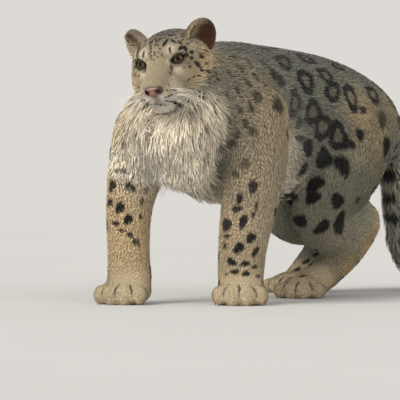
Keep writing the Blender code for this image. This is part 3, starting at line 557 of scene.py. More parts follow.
# Stretches whose coat is made as one, and the slots of stretches that aren't called by their own names
GROUPED = {"left_foreleg": "forelegs", "right_foreleg": "forelegs",
           "left_hindleg": "hindlegs", "right_hindleg": "hindlegs"}

BARE_LID = 0.0028  # how far from an eye's opening no coat grows
SKIN_PAINTED_SHADE = 0.86  # painted shade: how much darker the skin under the coat is drawn, as the blades shade it
# painted shade on the ears' skin under their coat
EAR_SKIN_PAINTED_SHADE = 0.8

# Colours of the coat where a stretch has one of its own
BACK_GREY = "66665e"
BELLY_PALE = "f2e8d2"
BREAST_PALE = "fff1d8"
PAW_TAN = "dcc9a6"

# The coat's soft tones, and patches of them on the body: x, y, z, reach, tone and strength
TONES = {
    "white": "fff9ee", "cream": "f8ead0", "ochre": "e9c793", "tan": "d2b58a",
    "dun": "a89776", "buff": "ab9a80", "smoke": "85877c", "slate": "6f695c",
}
BODY_PATCHES = (
    (0.125, -0.090, 0.400, 0.050, "tan", 0.75),
    (0.130, -0.020, 0.350, 0.045, "cream", 0.90),
    (0.130, 0.000, 0.300, 0.050, "cream", 0.90),
    (0.120, 0.020, 0.250, 0.050, "cream", 0.90),
    (0.110, -0.140, 0.500, 0.055, "buff", 0.70),
    (0.130, -0.190, 0.430, 0.055, "buff", 0.75),
    (0.130, -0.190, 0.340, 0.055, "buff", 0.55),
    (0.130, 0.040, 0.450, 0.060, "smoke", 0.50),
    (0.125, 0.240, 0.430, 0.055, "tan", 0.90),
    (0.130, 0.300, 0.360, 0.055, "tan", 0.90),
    (0.130, 0.220, 0.340, 0.035, "tan", 0.60),
    (0.110, 0.370, 0.430, 0.055, "tan", 0.75),
    (0.130, 0.270, 0.260, 0.045, "buff", 0.75),
    (0.150, 0.330, 0.170, 0.045, "ochre", 0.95),
    (0.135, 0.290, 0.110, 0.045, "ochre", 0.95),
    (0.110, 0.230, 0.060, 0.040, "ochre", 0.90),
    (0.130, 0.160, 0.150, 0.050, "buff", 0.50),
    (-0.060, -0.280, 0.320, 0.080, "white", 0.90),
    (-0.120, -0.250, 0.390, 0.050, "ochre", 0.50),
    (-0.140, -0.280, 0.320, 0.050, "cream", 0.75),
    (-0.160, -0.240, 0.400, 0.045, "tan", 0.60),
    (-0.130, -0.330, 0.190, 0.070, "ochre", 0.35),
    (0.100, -0.230, 0.150, 0.060, "tan", 0.35),
    (0.120, -0.200, 0.280, 0.050, "buff", 0.45),
    (-0.170, -0.060, 0.360, 0.070, "tan", 0.80),
    (-0.160, -0.060, 0.290, 0.070, "cream", 0.90),
    (-0.100, 0.380, 0.400, 0.070, "tan", 0.85),
    (-0.040, 0.450, 0.350, 0.070, "tan", 0.85),
    (-0.066, 0.470, 0.140, 0.045, "ochre", 0.90),
)
# Soft patches on the head: forwards, sideways (either side), up, reach, tone and strength
HEAD_PATCHES = (
    (-0.070, 0.000, 0.062, 0.055, "slate", 0.95),
    (-0.025, 0.000, 0.045, 0.034, "slate", 0.75),
    (-0.020, 0.050, 0.040, 0.026, "buff", 0.75),
    (0.020, 0.000, -0.015, 0.024, "dun", 0.90),
    (0.050, 0.000, -0.036, 0.018, "buff", 0.80),
    (0.004, 0.030, 0.020, 0.012, "cream", 0.80),
    (0.002, 0.040, -0.021, 0.013, "cream", 0.90),
    (0.014, 0.020, -0.006, 0.008, "cream", 0.40),
    (-0.030, 0.070, -0.045, 0.030, "ochre", 0.85),
    (-0.055, 0.085, -0.005, 0.030, "tan", 0.90),
    (-0.010, 0.062, -0.020, 0.020, "dun", 0.80),
    (0.030, 0.036, -0.066, 0.020, "cream", 0.75),
    (0.045, 0.024, -0.078, 0.019, "white", 1.00),
    (0.066, 0.012, -0.074, 0.013, "white", 1.00),
    (0.030, 0.000, -0.106, 0.028, "white", 1.00),
    (0.015, 0.034, -0.097, 0.026, "white", 0.95),
    (-0.030, 0.050, -0.090, 0.035, "cream", 0.90),
)


def along_line(points, stations):
    """How far each point is from a line of stations, over the line's radius there, and the way along it."""
    rows = np.array(smooth_stations(stations, 4))
    best = np.full(len(points), 1e9)
    way = np.zeros_like(points)
    for k in range(len(rows) - 1):
        start, step = rows[k, :3], rows[k + 1, :3] - rows[k, :3]
        t = np.clip((points - start) @ step / (step @ step), 0, 1)
        gap = np.linalg.norm(points - start - t[:, None] * step, axis=1)
        radius = 0.5 * (rows[k, 3:5] + t[:, None] * (rows[k + 1, 3:5] - rows[k, 3:5])).sum(1)
        distance = gap / radius
        nearer = distance < best
        best[nearer] = distance[nearer]
        way[nearer] = unit(step)
    return best, way


def flattened(lie, normals):
    """Directions laid flat on the skin."""
    return unit(lie - normals * np.sum(lie * normals, axis=1)[:, None])


def patched(colour, places, patches, sharpness, cover):
    """The coat's colour with soft patches of its tones over it, by a share of cover for each point."""
    for *place, reach, tone, strength in patches:
        apart = np.sum((places - np.array(place)) ** 2, axis=1) / reach ** 2
        colour = blended(colour, hex_levels(TONES[tone]), strength * np.exp(-apart ** sharpness) * cover)
    return colour


def coat_fields(points, normals):
    """The coat at each skin point (lie, sizes, colour, stretches), and the point's place on the head."""
    names = list(COATS)
    distances, ways = zip(*(along_line(points, COATS[name][0]) for name in names))
    distances = np.array(distances).T
    weights = np.exp(-10 * (distances - distances.min(1, keepdims=True)))
    weights /= weights.sum(1, keepdims=True)
    lie = sum(weights[:, [k]] * ways[k] * COATS[name][1] for k, name in enumerate(names))
    sizes = weights @ np.array([COATS[name][2:7] for name in names])
    colour = weights @ np.array([hex_levels(COATS[name][7]) for name in names])
    part = dict(zip(names, weights.T))
    _, y, z = points.T
    rise = normals[:, 2]

    # The trunk: the coat slants down its sides, is darker on the back and long and pale under the belly
    trunk = part["torso"] + part["neck"]
    lie[:, 2] -= 0.45 * trunk * (1 - rise ** 2)
    under = part["torso"] * smoothstep(0.32, 0.24, z) * smoothstep(0.25, -0.35, rise)
    sizes = blended(sizes, BELLY_COAT, under)
    colour = blended(colour, hex_levels(BACK_GREY), trunk * smoothstep(0.45, 0.95, rise) * 0.9)
    colour = blended(colour, hex_levels(BELLY_PALE), part["torso"] * smoothstep(0.31, 0.235, z))
    breast = smoothstep(-0.225, -0.275, y) * smoothstep(0.50, 0.44, z)
    breast *= (1 - part["head"]) * smoothstep(0.20, 0.26, z)
    breast *= 1 - (part["left_foreleg"] + part["right_foreleg"]) * smoothstep(0.31, 0.26, z)
    sizes = blended(sizes, BREAST_COAT, breast * 0.8)
    colour = blended(colour, hex_levels(BREAST_PALE), breast * 0.9)
    lie = blended(lie, np.array([0.0, 0.05, -1.0]), breast * 0.8)

    # The legs: longer coat on the haunches and at the top of the forelegs, and short coat on the paws
    high = smoothstep(0.16, 0.36, z)
    legs = sum(part[name] for name in LEGS)
    sizes = blended(sizes, HAUNCH_COAT, legs * high)
    for _, (foot_x, foot_y, turn, _) in LEGS.values():
        near = np.linalg.norm((points - np.array([foot_x, foot_y, 0.0])) * (1, 1, 0.9), axis=1)
        on_paw = smoothstep(0.105, 0.075, near) * smoothstep(0.105, 0.065, z)
        forwards = -np.array(plan_axes(turn).col[1])
        sizes = blended(sizes, PAW_COAT, on_paw)
        colour = blended(colour, hex_levels(PAW_TAN), on_paw)
        lie = blended(lie, forwards - np.array([0, 0, 0.35]), on_paw)

    # The head: swept back from the nose, short in front and long at the cheeks and under the jaw
    head = (points - np.array(MID_EYE)) @ HEAD_AXES
    forwards, side, up = head.T
    ahead, leftwards = HEAD_AXES[:, 0], HEAD_AXES[:, 1]
    on_head = part["head"]
    swept = unit(points - np.array(head_point(0.078, 0, -0.045)))
    swept += leftwards * (0.25 * np.sign(side) * smoothstep(0.02, 0.06, np.abs(side)))[:, None]
    lie = blended(lie, swept, on_head)
    cheeks = on_head * smoothstep(-0.028, -0.085, forwards - 0.25 * np.abs(side))
    cheeks *= smoothstep(0.055, -0.005, up)
    sizes = blended(sizes, CHEEK_COAT, cheeks)
    outwards = leftwards * np.sign(side)[:, None] * 0.8 - ahead * 0.8 - np.array([0, 0, 0.55])
    lie = blended(lie, outwards, cheeks)
    crown = on_head * smoothstep(-0.04, -0.10, forwards) * smoothstep(0.0, 0.05, up)
    sizes = blended(sizes, CROWN_COAT, crown)
    jaw = on_head * smoothstep(-0.085, -0.105, up) * smoothstep(0.0, -0.04, forwards)
    sizes = blended(sizes, JAW_COAT, jaw)
    lie = blended(lie, np.array([0.0, 0.1, -1.0]), jaw * 0.6)

    colour = patched(colour, points, BODY_PATCHES, 1.0, 1 - on_head)
    mirrored = np.stack([forwards, np.abs(side), up], axis=1)
    colour = patched(colour, mirrored, HEAD_PATCHES, 1.5, smoothstep(0.25, 0.6, on_head))
    return flattened(lie, normals), sizes, colour, part, head


def camera_axes():
    """The camera's place, its right, its up and the way back from what it looks at, for its level axis."""
    turn, rise = CAMERA_TURN, CAMERA_RISE
    back = Vector((math.sin(turn) * math.cos(rise), -math.cos(turn) * math.cos(rise), math.sin(rise)))
    right = Vector((math.cos(turn), math.sin(turn), 0))
    return back * CAMERA_DISTANCE, right, back.cross(right), back


def pixel_way(across, down):
    """The way from the camera through a pixel of the photograph."""
    _, right, up, back = camera_axes()
    way = -back + right * ((across - AXIS_PIXEL[0]) / PIXELS) + up * ((AXIS_PIXEL[1] - down) / PIXELS)
    return way.normalized()


# Marks on the body where they are seen: across and down in pixels, half length, half width, slant in
# degrees, kind (r is an open ring, s is filled) and darkness
BODY_MARKS = """
283 62 9 7 20 r .7;305 59 12 6 -30 r .95;337 67 8.5 5 -35 r .95;325 76 9.5 7 -35 r .9
332 92 10.5 8.5 -60 r .9;305 81 14 8.5 -55 r 1;350 97 14.5 6.5 -78 r .9;312 112 14 8 80 r .75
322 127 15 9 75 r .9;337 136 13.5 9.5 65 r 1;342 166 12 8 -80 s .95;322 158 10.5 8.5 80 s .95
307 147 8.5 6 -60 s .85;302 168 9 4 50 s .9;315 185 13.5 6.5 35 s 1;313 198 10 6.5 15 s 1
294 194 11 5.5 55 s 1;337 201 8.5 7.5 30 s 1;322 227 10.5 6 50 s 1;339 223 12 5.5 75 s .95
299 221 8.5 6.5 10 s 1;350 145 5.5 5.5 0 s .9;359 135 7.5 4.5 -60 s .9;362 110 4.5 4 0 s .75
357 73 9 4.5 -45 r .8;372 95 11.5 5.5 -65 r .85;381 120 9 5 80 s .5;385 147 12 5.5 80 s .9
388 175 9 7.5 0 s .95;390 198 8.5 5.5 0 s .9;393 218 8.5 5.5 -20 s .9;273 75 5.5 4.5 70 s .7
280 82 6.5 4.5 60 s .6;277 106 8.5 5.5 80 s .6;294 103 13 6.5 75 r .5;299 138 5.5 4 0 s .55
298 123 6.5 4 60 s .4;357 200 4.5 3 60 s .6;257 97 6 7 0 s .5;253 132 6 6 0 s .45;275 43 12 3.5 -10 s .7
263 50 8 3 -10 s .6;292 47 9 3 -12 s .6;316 255 5 2.5 30 s .8;253 187 7 6 80 s .75;240 199 5.5 4 70 s .85
223 203 7 3.5 15 s .5;256 206 4.5 2.5 80 s .7;253 215 3.5 2.5 60 s .7;227 225 6.5 5 40 s .85
243 222 8.5 4.3 80 s .9;251 238 6.5 4.8 60 s .95;239 248 6.8 5.4 30 s 1;255 252 6 3 60 s .9
232 262 5.5 4 -40 s 1;245 264 5.5 3.2 15 s 1;254 267 3.2 2.4 0 s .8;235 272 5 2.8 0 s 1
246 274 5.2 2.5 5 s 1;227 274 2.6 1.8 0 s .6;258 276 2.6 1.8 0 s .7;231 143 5 6 70 s .55
219 148 4 5 70 s .5;245 165 5 7 80 s .4;236 174 4 5 80 s .45;122 172 8 2.5 -5 s .8;130 187 7 4.5 -25 s .9
113 186 3.8 6.5 0 s .85;120 208 5.5 6 0 s .95;110 203 3.5 4.5 0 s .8;128 220 6 5 40 s 1
141 202 3 4.2 0 s .5;140 217 2.3 2.8 0 s .8;116 224 4.5 2.5 -10 s .95;122 231 5 2 -10 s .95
130 235 3.2 3.8 20 s .85;134 242 2.8 3.4 0 s .8;138 243 1.8 6 0 s .6;145 191 1.7 4.5 0 s .5
214 115 3.5 3.5 40 s .8;204 129 4 3.5 20 s .5;204 159 5 7 0 s .25;297 270 5 2 20 s .8
306 262 5 2.2 25 s .7;232 58 5 1.8 -40 s .55;240 70 6 2 -50 s .55;228 74 5 1.8 -55 s .5
248 64 6 2 -50 s .5;247 84 7 2.4 -65 s .6;236 90 6 2 -60 s .5;226 96 5 1.8 -65 s .5;255 78 6 2.2 -60 s .5
251 108 7 3 -75 s .55;239 110 6 2.4 -70 s .45;228 120 5 2.4 -70 s .5;246 124 7 3 -80 s .5
262 64 6 2.5 -40 s .5;266 88 5 3 -60 s .5;238 135 5 3 80 s .45
"""
# Marks on the face, in the same way
FACE_MARKS = """
165.3 41.7 4.6 1.1 52 s 1;173.1 40.6 3.4 1 -38 s 1;179.8 42.8 2.8 1.1 -52 s .95;180.9 47 2.4 1.8 30 s 1
185.3 47.8 2.6 1.4 -65 s 1;191.4 51.7 2 1.4 -50 s 1;199.8 55.6 2.2 1.5 -50 s .95;187.6 55.6 1.1 .9 0 s .8
191.4 57.2 1.8 1.6 0 s 1;197 64.4 4 1.5 -55 s 1;200.9 68.9 2.3 1.2 -60 s 1;207 71.1 2.3 1.7 -10 s .9
205.3 63.3 1.4 1.2 0 s .7;189.8 66.1 1.6 1.1 30 s .85;188.7 63.3 1.1 .8 0 s .5;184 67.5 1.6 .8 20 s .4
193.1 76.1 1.2 .8 20 s .8;197.6 75 1.2 .8 20 s .8;188.7 78.9 1.8 .7 25 s .7;209.8 75.5 1.8 1.1 -20 s .6
215 80 3 1.3 -15 s .7;211 82 2.2 .9 -10 s .6;206.4 85 2 1.3 10 s .75;198.1 94.4 2 1.2 -15 s .8
202 100 2.5 1.8 -30 s .75;190.9 101.1 1.8 1 0 s .7;183 109.4 1.5 1 0 s .5;169.8 35 1.7 1.2 -40 s .95
173.7 34.4 1.4 1 -40 s .9;172.5 31.7 1.3 1 0 s .8;167 33.4 1.2 .9 0 s .7;178.7 29.4 1.5 1.1 0 s .8
169.8 49.4 3.4 .9 -80 s .85;155.3 44.4 1 .9 0 s .8;150.9 41.7 1 1.7 0 s 1;150.4 45.6 .9 .9 0 s .95
150.4 48.4 .9 .9 0 s .95;150.9 51.2 .9 .9 0 s .9;148.8 53.4 .9 .9 0 s .8;146.4 41.1 2.8 .9 28 s .95
139.6 47.6 4.6 1 58 s .9;137.2 53 3 .9 75 s .7;154.4 51.8 .8 .8 0 s .8;154.2 54.2 .8 .8 0 s .8
158.6 51.8 .8 .8 0 s .8;161 53.4 .8 .8 0 s .8;162 55 .8 .8 0 s .8;157.6 56.2 .8 .8 0 s .7
151.4 58.8 .8 .7 0 s .7;154.2 59.4 .8 .7 0 s .7;159.4 48.2 .9 .9 0 s .8;157.6 44.8 .9 1 0 s .8
156.2 40.6 1 1.6 20 s .8;159.8 38.6 1 1.6 -20 s .8;162.4 34.4 1 1.8 -40 s .85;157.4 34 1 1.6 20 s .75
152.6 35 1 1.8 45 s .8;147.2 35.4 1 1.8 50 s .7;142.6 39.4 1 1.8 55 s .7;151.4 29.8 .9 1.6 50 s .6
144 31.5 1 2 50 s .55;160.8 30.6 .9 1.6 -30 s .6;166.4 28.6 1 1.5 -30 s .6;186 36 1.2 1 0 s .5
191 41.4 1.3 1 0 s .5;184.4 32.6 1.2 .9 0 s .5;167 90 .9 .6 10 s .9;169.8 89.5 .9 .6 0 s .9
172.5 89.4 .9 .6 0 s .8;174.6 89.7 .8 .6 0 s .6;165.3 96.7 1.2 .7 20 s .9;168.7 95.5 1.2 .7 15 s .95
171.4 94.4 1.3 .7 15 s .95;175.3 93.9 1.3 .6 15 s .8;166.4 100 1.2 .8 10 s .9;169 100.6 1.2 .8 0 s .9
171.6 101.5 1.5 1 -15 s 1;174.4 102.6 2.2 1.4 -25 s 1;177 103.6 1.8 1.2 -20 s 1;155.3 103.4 .8 .6 0 s .7
158 104 .8 .6 0 s .8;161 104.6 .9 .8 0 s .9;164.8 105 .8 .6 0 s .7;147.6 102.8 1.6 .8 -40 s .6
150.6 104 .8 .6 0 s .6;133 108 3 2 40 s .85;130.3 95 2.5 2 0 s .6;129 100 1.6 1.4 0 s .6
136.4 104.4 2 1.4 30 s .7;168.8 84.6 .9 1.4 0 s .35;171 67.4 .9 2.6 -8 s .8;169.6 73 .9 1.8 -10 s .5
145.6 68.5 .8 2.4 0 s .6;127 60 1 3 0 s .4;125.5 70 1.4 3 0 s .4;123 84 1.8 3 0 s .4
"""

# Scattered marks: half length, half width, gap to the next, whether it is an open ring, and darkness
TAIL_SADDLE = (0.026, 0.013, 0.012, False, 0.9)
TRUNK_RING = (0.024, 0.017, 0.008, True, 0.9)
TRUNK_SPOT = (0.018, 0.010, 0.008, False, 0.9)
THIGH_SPOT = (0.020, 0.013, 0.013, False, 0.95)
SHANK_SPOT = (0.012, 0.007, 0.014, False, 0.95)
FORELEG_SPOT = (0.013, 0.010, 0.013, False, 0.9)
# Flecks: half length, half width and gap to the next
CROWN_FLECK = (0.0062, 0.0020, 0.0016)
CHEEK_FLECK = (0.0090, 0.0021, 0.0080)
SCATTER_TRIES = 9000

MARK_SCALE = 0.90
FACE_MARK_SCALE = 1.18
MOST_STRETCH = 1.7  # of a mark that is seen aslant
BODY_BLACK = "0f0e0d"
HEAD_BLACK = "100c0a"
INSIDE_RING = np.array([0.86, 0.82, 0.76])  # how much of each colour is left inside an open ring


class Marks:
    """The dark rings and spots: places on the skin, each with its two axes, sizes, kind and darkness."""

    def __init__(self, skin_tree):
        self.tree = skin_tree
        self.rows = []
        self.dice = random.Random(SEED)

    def add(self, place, normal, along, long, wide, ring, dark):
        along = (along - normal * along.dot(normal)).normalized()
        across = normal.cross(along)
        turns = [self.dice.uniform(0, 2 * math.pi) for _ in range(3)]
        self.rows.append((place.copy(), normal.copy(), along, across, long, wide, ring, dark, turns))

    def cast(self, text, scale):
        """Puts marks, scaled, where rays through their pixels meet the skin."""
        place, right, up, _ = camera_axes()
        for row in text.replace("\n", ";").strip(";").split(";"):
            across, down, long, wide, slant, kind, dark = row.split()
            way = pixel_way(float(across), float(down))
            hit, normal, _, reach = self.tree.ray_cast(place, way)
            if hit is None:
                continue
            angle = math.radians(float(slant))
            pixel = scale * reach / PIXELS
            slid = []
            for flat in (right * math.cos(angle) + up * math.sin(angle),
                         up * math.cos(angle) - right * math.sin(angle)):
                laid = flat - way * (flat.dot(normal) / way.dot(normal))
                if laid.length > MOST_STRETCH:
                    laid *= MOST_STRETCH / laid.length
                slid.append(laid)
            self.add(hit, normal, slid[0], float(long) * pixel * slid[0].length,
                     float(wide) * pixel * slid[1].length, kind == "r", float(dark))

    def mirror(self, rows, middle, axis, shake):
        """The same marks on the other side of a plane, shaken so that the sides differ as real ones do."""
        for place, normal, along, _, long, wide, ring, dark, _ in rows:
            other = place - axis * 2 * (place - middle).dot(axis)
            other += Vector([self.dice.uniform(-shake, shake) for _ in range(3)])
            hit, face, _, _ = self.tree.find_nearest(other)
            facing = normal - axis * 2 * normal.dot(axis)
            if facing.dot(face) > 0.2 and self.clear_of(hit, 0.55 * (long + wide)):
                turned = along - axis * 2 * along.dot(axis)
                self.add(hit, face, turned, long, wide, ring, dark)

    def clear_of(self, place, reach):
        """Whether no mark yet is within reach of a place."""
        return all((place - row[0]).length > reach + 0.5 * (row[4] + row[5]) for row in self.rows)

    def values(self, points):
        """How dark the marks make each point, and how far inside an open ring it is."""
        dark = np.zeros(len(points))
        inside = np.zeros(len(points))
        for place, normal, along, across, long, wide, ring, depth, turns in self.rows:
            reach = 1.5 * max(long, wide)
            near = np.nonzero(np.abs(points - np.array(place)).max(1) < reach)[0]
            off = points[near] - np.array(place)
            near = near[np.abs(off @ np.array(normal)) < 0.8 * reach + 0.004]
            off = points[near] - np.array(place)
            u, v = off @ np.array(along) / long, off @ np.array(across) / wide
            angle = np.arctan2(v, u)
            waves = [share * np.sin(count * angle + turn)
                     for share, count, turn in zip((0.10, 0.09, 0.05), (2, 3, 7), turns)]
            size = np.hypot(u, v) * (1 + waves[0] + waves[1] + waves[2])
            if ring:
                gaps = np.sin(2 * angle + turns[2]) + 0.35 * np.sin(5 * angle + turns[0])
                broken = smoothstep(-0.95, -0.55, gaps)
                band = smoothstep(0.42, 0.58, size) * smoothstep(1.18, 0.98, size)
                shade = depth * band * (0.75 + 0.25 * broken)
                inside[near] = np.maximum(inside[near], smoothstep(1.0, 0.7, size))
            else:
                shade = depth * smoothstep(1.15, 0.80, size)
            dark[near] = np.maximum(dark[near], shade)
        return dark, inside


def paint_toe_crease_shade(marks):
    """Painted shade: dark streaks in the creases between the four toes of each paw, where shade falls."""
    for _, (x, y, turn, height) in LEGS.values():
        axes = plan_axes(turn)
        for rank in (-1, 0, 1):
            ahead = axes @ Vector((rank * TOE_SPACING * PAW_WIDTH, -PAW_LENGTH, 0))
            start = Vector((x, y, 0.5 * height)) + ahead
            hit, normal, _, _ = marks.tree.ray_cast(start, axes @ Vector((0, 1, 0)))
            if hit is not None:
                # each streak is painted shade laid in a crease between two toes
                marks.add(hit, normal, Vector((0, 0, 1)), 0.017, 0.0026, False, 0.6)


def marked_colour(colour, dark, inside, head_share):
    """The coat's colour with its marks laid over it."""
    black = blended(np.tile(hex_levels(BODY_BLACK), (len(colour), 1)), hex_levels(HEAD_BLACK), head_share)
    colour = blended(colour, colour * INSIDE_RING, inside * 0.6)
    return blended(colour, black, np.clip(dark, 0, 1) * 0.96)


def scatter_marks(marks, points, normals, part, head, lie):
    """Marks where the photograph doesn't show the coat, and the fine flecks of the crown and cheeks."""
    camera, _, _, back = camera_axes()
    dice = random.Random(SEED + 1)
    order = list(range(len(points)))
    dice.shuffle(order)
    trunk, tail = part["torso"] + part["neck"], part["tail"]
    hind = part["left_hindleg"] + part["right_hindleg"]
    fore = part["left_foreleg"] + part["right_foreleg"]
    for i in order[:SCATTER_TRIES]:
        place, normal = Vector(points[i]), Vector(normals[i])
        forwards, side, up = head[i]
        on_crown = up > 0.022
        on_cheek = abs(side) > 0.055 and forwards < -0.03
        if part["head"][i] > 0.5 and forwards < -0.006 and (on_crown or on_cheek):
            long, wide, apart = CROWN_FLECK if on_crown else CHEEK_FLECK
            if marks.clear_of(place, 0.5 * (long + wide) + apart):
                marks.add(place, normal, Vector(lie[i]), long, wide, False, dice.uniform(0.55, 0.95))
            continue
        on_breast = place.y < -0.235 and place.z > 0.29 and place.x > -0.12
        if place.z < 0.035 or part["head"][i] > 0.35 or part["throat"][i] > 0.3 or on_breast:
            continue
        if normal.dot(back) > 0.22:
            _, _, _, reach = marks.tree.ray_cast(place + normal * 0.004, (camera - place).normalized())
            if reach is None:
                continue
        along = Vector((0, 1, 0.2 * dice.uniform(-1, 1)))
        size = dice.uniform(0.85, 1.15)
        if tail[i] > 0.5:
            kind = TAIL_SADDLE
            on_floor = Vector((place.y - 0.5, -(place.x - 0.25), 0.4))
            along = Vector((0, 0, 1)) if place.z > 0.1 else on_floor
        elif trunk[i] > 0.5 and place.z > 0.30:
            kind = TRUNK_SPOT if place.z < 0.36 or normal.z > 0.93 else TRUNK_RING
        elif hind[i] > 0.5:
            kind = SHANK_SPOT if place.z < 0.2 else THIGH_SPOT
        elif fore[i] > 0.5:
            kind = FORELEG_SPOT
            along = Vector((0, 0, 1))
        else:
            continue
        long, wide, apart, ring, dark = kind
        if marks.clear_of(place, 0.5 * (long + wide) * size + apart):
            marks.add(place, normal, along, long * size, wide * size, ring, dark * dice.uniform(0.8, 1.0))


def read_rows(collection, name, width, kind=float):
    """One property of all of a mesh's elements, a row for each."""
    found = np.empty(len(collection) * width, kind)
    collection.foreach_get(name, found)
    return found.reshape(-1, width)


def vertex_data(mesh):
    """The places and the normals of a mesh's points."""
    return read_rows(mesh.vertices, "co", 3), read_rows(mesh.vertices, "normal", 3)


def triangles(mesh):
    """Each triangle's three points and its three corners' numbers."""
    mesh.calc_loop_triangles()
    rows = mesh.loop_triangles
    return read_rows(rows, "vertices", 3, int), read_rows(rows, "loops", 3, int)


def evened(mesh, values, rounds):
    """Values at a mesh's points, averaged over their neighbours again and again."""
    edges = read_rows(mesh.edges, "vertices", 2, int)
    first, second = edges.T
    count = len(values)
    near = 1 + np.bincount(edges.ravel(), minlength=count)
    for _ in range(rounds):
        sums = [row + np.bincount(first, row[second], count) + np.bincount(second, row[first], count)
                for row in values.T]
        values = np.stack([row / near for row in sums], axis=1)
    return values


def tree_of(mesh):
    points, _ = vertex_data(mesh)
    corners, _ = triangles(mesh)
    return BVHTree.FromPolygons(points.tolist(), corners.tolist())


def slow_noise(points, scale, salt):
    """Smooth random numbers about 0, one for each point, that change over a distance of scale."""
    offset = Vector((salt, 2 * salt, 3 * salt))
    return np.array([noise.noise(Vector(point) / scale + offset) for point in points.tolist()])


# Blades of the coat: shares along each from its root, and its width there; the last is its tip
SHORT_BLADE = ((0.0, 0.75), (0.48, 1.0), (1.0, 0.0))
LONG_BLADE = ((0.0, 0.75), (0.36, 1.0), (0.72, 0.72), (1.0, 0.0))
LONG_FROM = 0.024  # coats longer than this have long blades
ROOT_DEPTH = 0.0018
BLADE_RIDGE = 0.16  # height of a blade's ridge over its width
BLADE_FLOOR = 0.0004  # the lowest that a blade reaches over the floor
# Painted shade on the blades: each blade's colour is darkened towards its root, where the coat shades
# itself, and lightened a little at its tip
PAINTED_SHADE_SHARES = (0, 0.35, 0.8, 1)  # along a blade, where its painted shade is given
PAINTED_ROOT_SHADES = ((0.76, 0.92, 1.0, 1.05), (0.84, 0.95, 1.0, 1.03))  # painted shade there, on a short blade and on a long one: darker towards the root, where the coat shades itself, and a touch of painted light at the tip
TUFT_PATCH = 0.003  # width of each tuft's patch on the unwrap
PIECE_TRIANGLES = 190000  # the most in one piece of coat


def scatter_roots(mesh, points, spacing, keep, rng):
    """Even random places on the mesh: their triangles' points and corners, and their shares of the three."""
    corners, loops = triangles(mesh)
    a, b, c = (points[corners[:, k]] for k in range(3))
    area = 0.5 * np.linalg.norm(np.cross(b - a, c - a), axis=1)
    density = (keep / spacing ** 2)[corners].mean(1)
    total = np.cumsum(area * density)
    chosen = np.searchsorted(total, np.arange(rng.random(), total[-1], 1.0))
    first, second = np.sqrt(rng.random(len(chosen))), rng.random(len(chosen))
    shares = np.stack([1 - first, first * (1 - second), first * second], axis=1)
    return corners[chosen], loops[chosen], shares


def at_roots(values, corners, shares):
    """Values at the roots, from those at the skin's points."""
    return np.einsum("nk,nk...->n...", shares, values[corners])


def blade_points(tree, root, normal, lie, length, height, droop, profile):
    """The middle of each blade at each of its stations, kept at its height over the skin."""
    stations = []
    for share, _ in profile:
        wanted = height * (1 - (1 - share) ** 2) - ROOT_DEPTH * (share == 0)
        place = root + lie * (length * share)[:, None] + normal * wanted[:, None]
        if share > 0:
            place[:, 2] -= droop * length * share ** 2
            feet = np.empty_like(place)
            faces = np.empty_like(place)
            for k, point in enumerate(place.tolist()):
                foot, face, _, _ = tree.find_nearest(point)
                feet[k], faces[k] = foot, face
            off = wanted - np.sum((place - feet) * faces, axis=1)
            pull = np.where(off > 0, 1.0, 0.75 - 0.6 * np.clip(droop * 4, 0, 1))
            place += faces * (off * pull)[:, None]
        stations.append(place)
    return stations


def blade_rows(stations, normal, lie, width, profile):
    """The points of all blades: three at each station but the last, then the tip."""
    across = unit(np.cross(lie, normal))
    rows = []
    for k, (_, part_width) in enumerate(profile[:-1]):
        step = unit(stations[k + 1] - stations[max(k - 1, 0)])
        side = flattened(across, step)
        half = (0.5 * part_width * width)[:, None]
        ridge = np.cross(side, step) * half * 2 * BLADE_RIDGE
        rows += [stations[k] + side * half, stations[k] + ridge, stations[k] - side * half]
    rows.append(stations[-1])
    return rows


def blade_faces(stretches):
    """The triangles of one blade with so many stretches up to its last station before the tip."""
    faces = [(0, 1, 2)]
    for k in range(stretches):
        for m in range(3):
            a, b = 3 * k + m, 3 * k + (m + 1) % 3
            faces += [(a, a + 3, b + 3), (a, b + 3, b)]
    base = 3 * stretches
    faces += [(base + m, base + 3, base + (m + 1) % 3) for m in range(3)]
    return np.array(faces)


def blade_mesh(name, stations, normal, lie, width, tints, patch, profile, material):
    """All blades as one mesh of closed three-sided points, with their colours, painted shade towards their
    roots included, and their two maps.
    """
    count = len(width)
    rows = blade_rows(stations, normal, lie, width, profile)
    points = np.stack(rows, axis=1).reshape(-1, 3)
    points[:, 2] = np.maximum(points[:, 2], BLADE_FLOOR)
    faces = blade_faces(len(profile) - 2)
    corners = (np.arange(count)[:, None, None] * len(rows) + faces).reshape(-1)
    mesh = bpy.data.meshes.new(name)
    mesh.vertices.add(len(points))
    mesh.vertices.foreach_set("co", points.ravel())
    mesh.loops.add(len(corners))
    mesh.loops.foreach_set("vertex_index", corners)
    mesh.polygons.add(len(corners) // 3)
    mesh.polygons.foreach_set("loop_start", np.arange(0, len(corners), 3))
    mesh.update(calc_edges=True)
    mesh.shade_smooth()

    shares = np.array([share for share, _ in profile[:-1] for _ in range(3)] + [1.0])
    sides = np.array([m - 1.0 for _ in profile[:-1] for m in range(3)] + [0.0])
    # painted shade along the blade, darkest at its root
    shade = np.interp(shares, PAINTED_SHADE_SHARES, PAINTED_ROOT_SHADES[len(profile) > 3])
    tints = np.stack([tints[k] for k in range(len(profile) - 1) for _ in range(3)] + [tints[-1]], axis=1)
    paint(mesh, (tints * shade[None, :, None]).reshape(-1, 3))
    place = patch[:, None, :] + 0.5 * TUFT_PATCH * np.stack([sides, 2 * shares - 1], axis=1)[None]
    length = np.linalg.norm(stations[-1] - stations[0], axis=1)
    strand = np.stack([np.tile(sides * 0.5, (count, 1)) * width[:, None], shares * length[:, None]], axis=2)
    strand += (np.arange(count) % 977 * 0.013)[:, None, None]
    for map_name, layer in (("OFBake", place), ("Strand", strand)):
        uv = mesh.uv_layers.new(name=map_name)
        uv.uv.foreach_set("vector", layer.reshape(-1, 2)[corners].ravel())
    mesh.uv_layers.active = mesh.uv_layers["OFBake"]
    mesh.materials.append(material)
    return mesh_object(name, mesh)


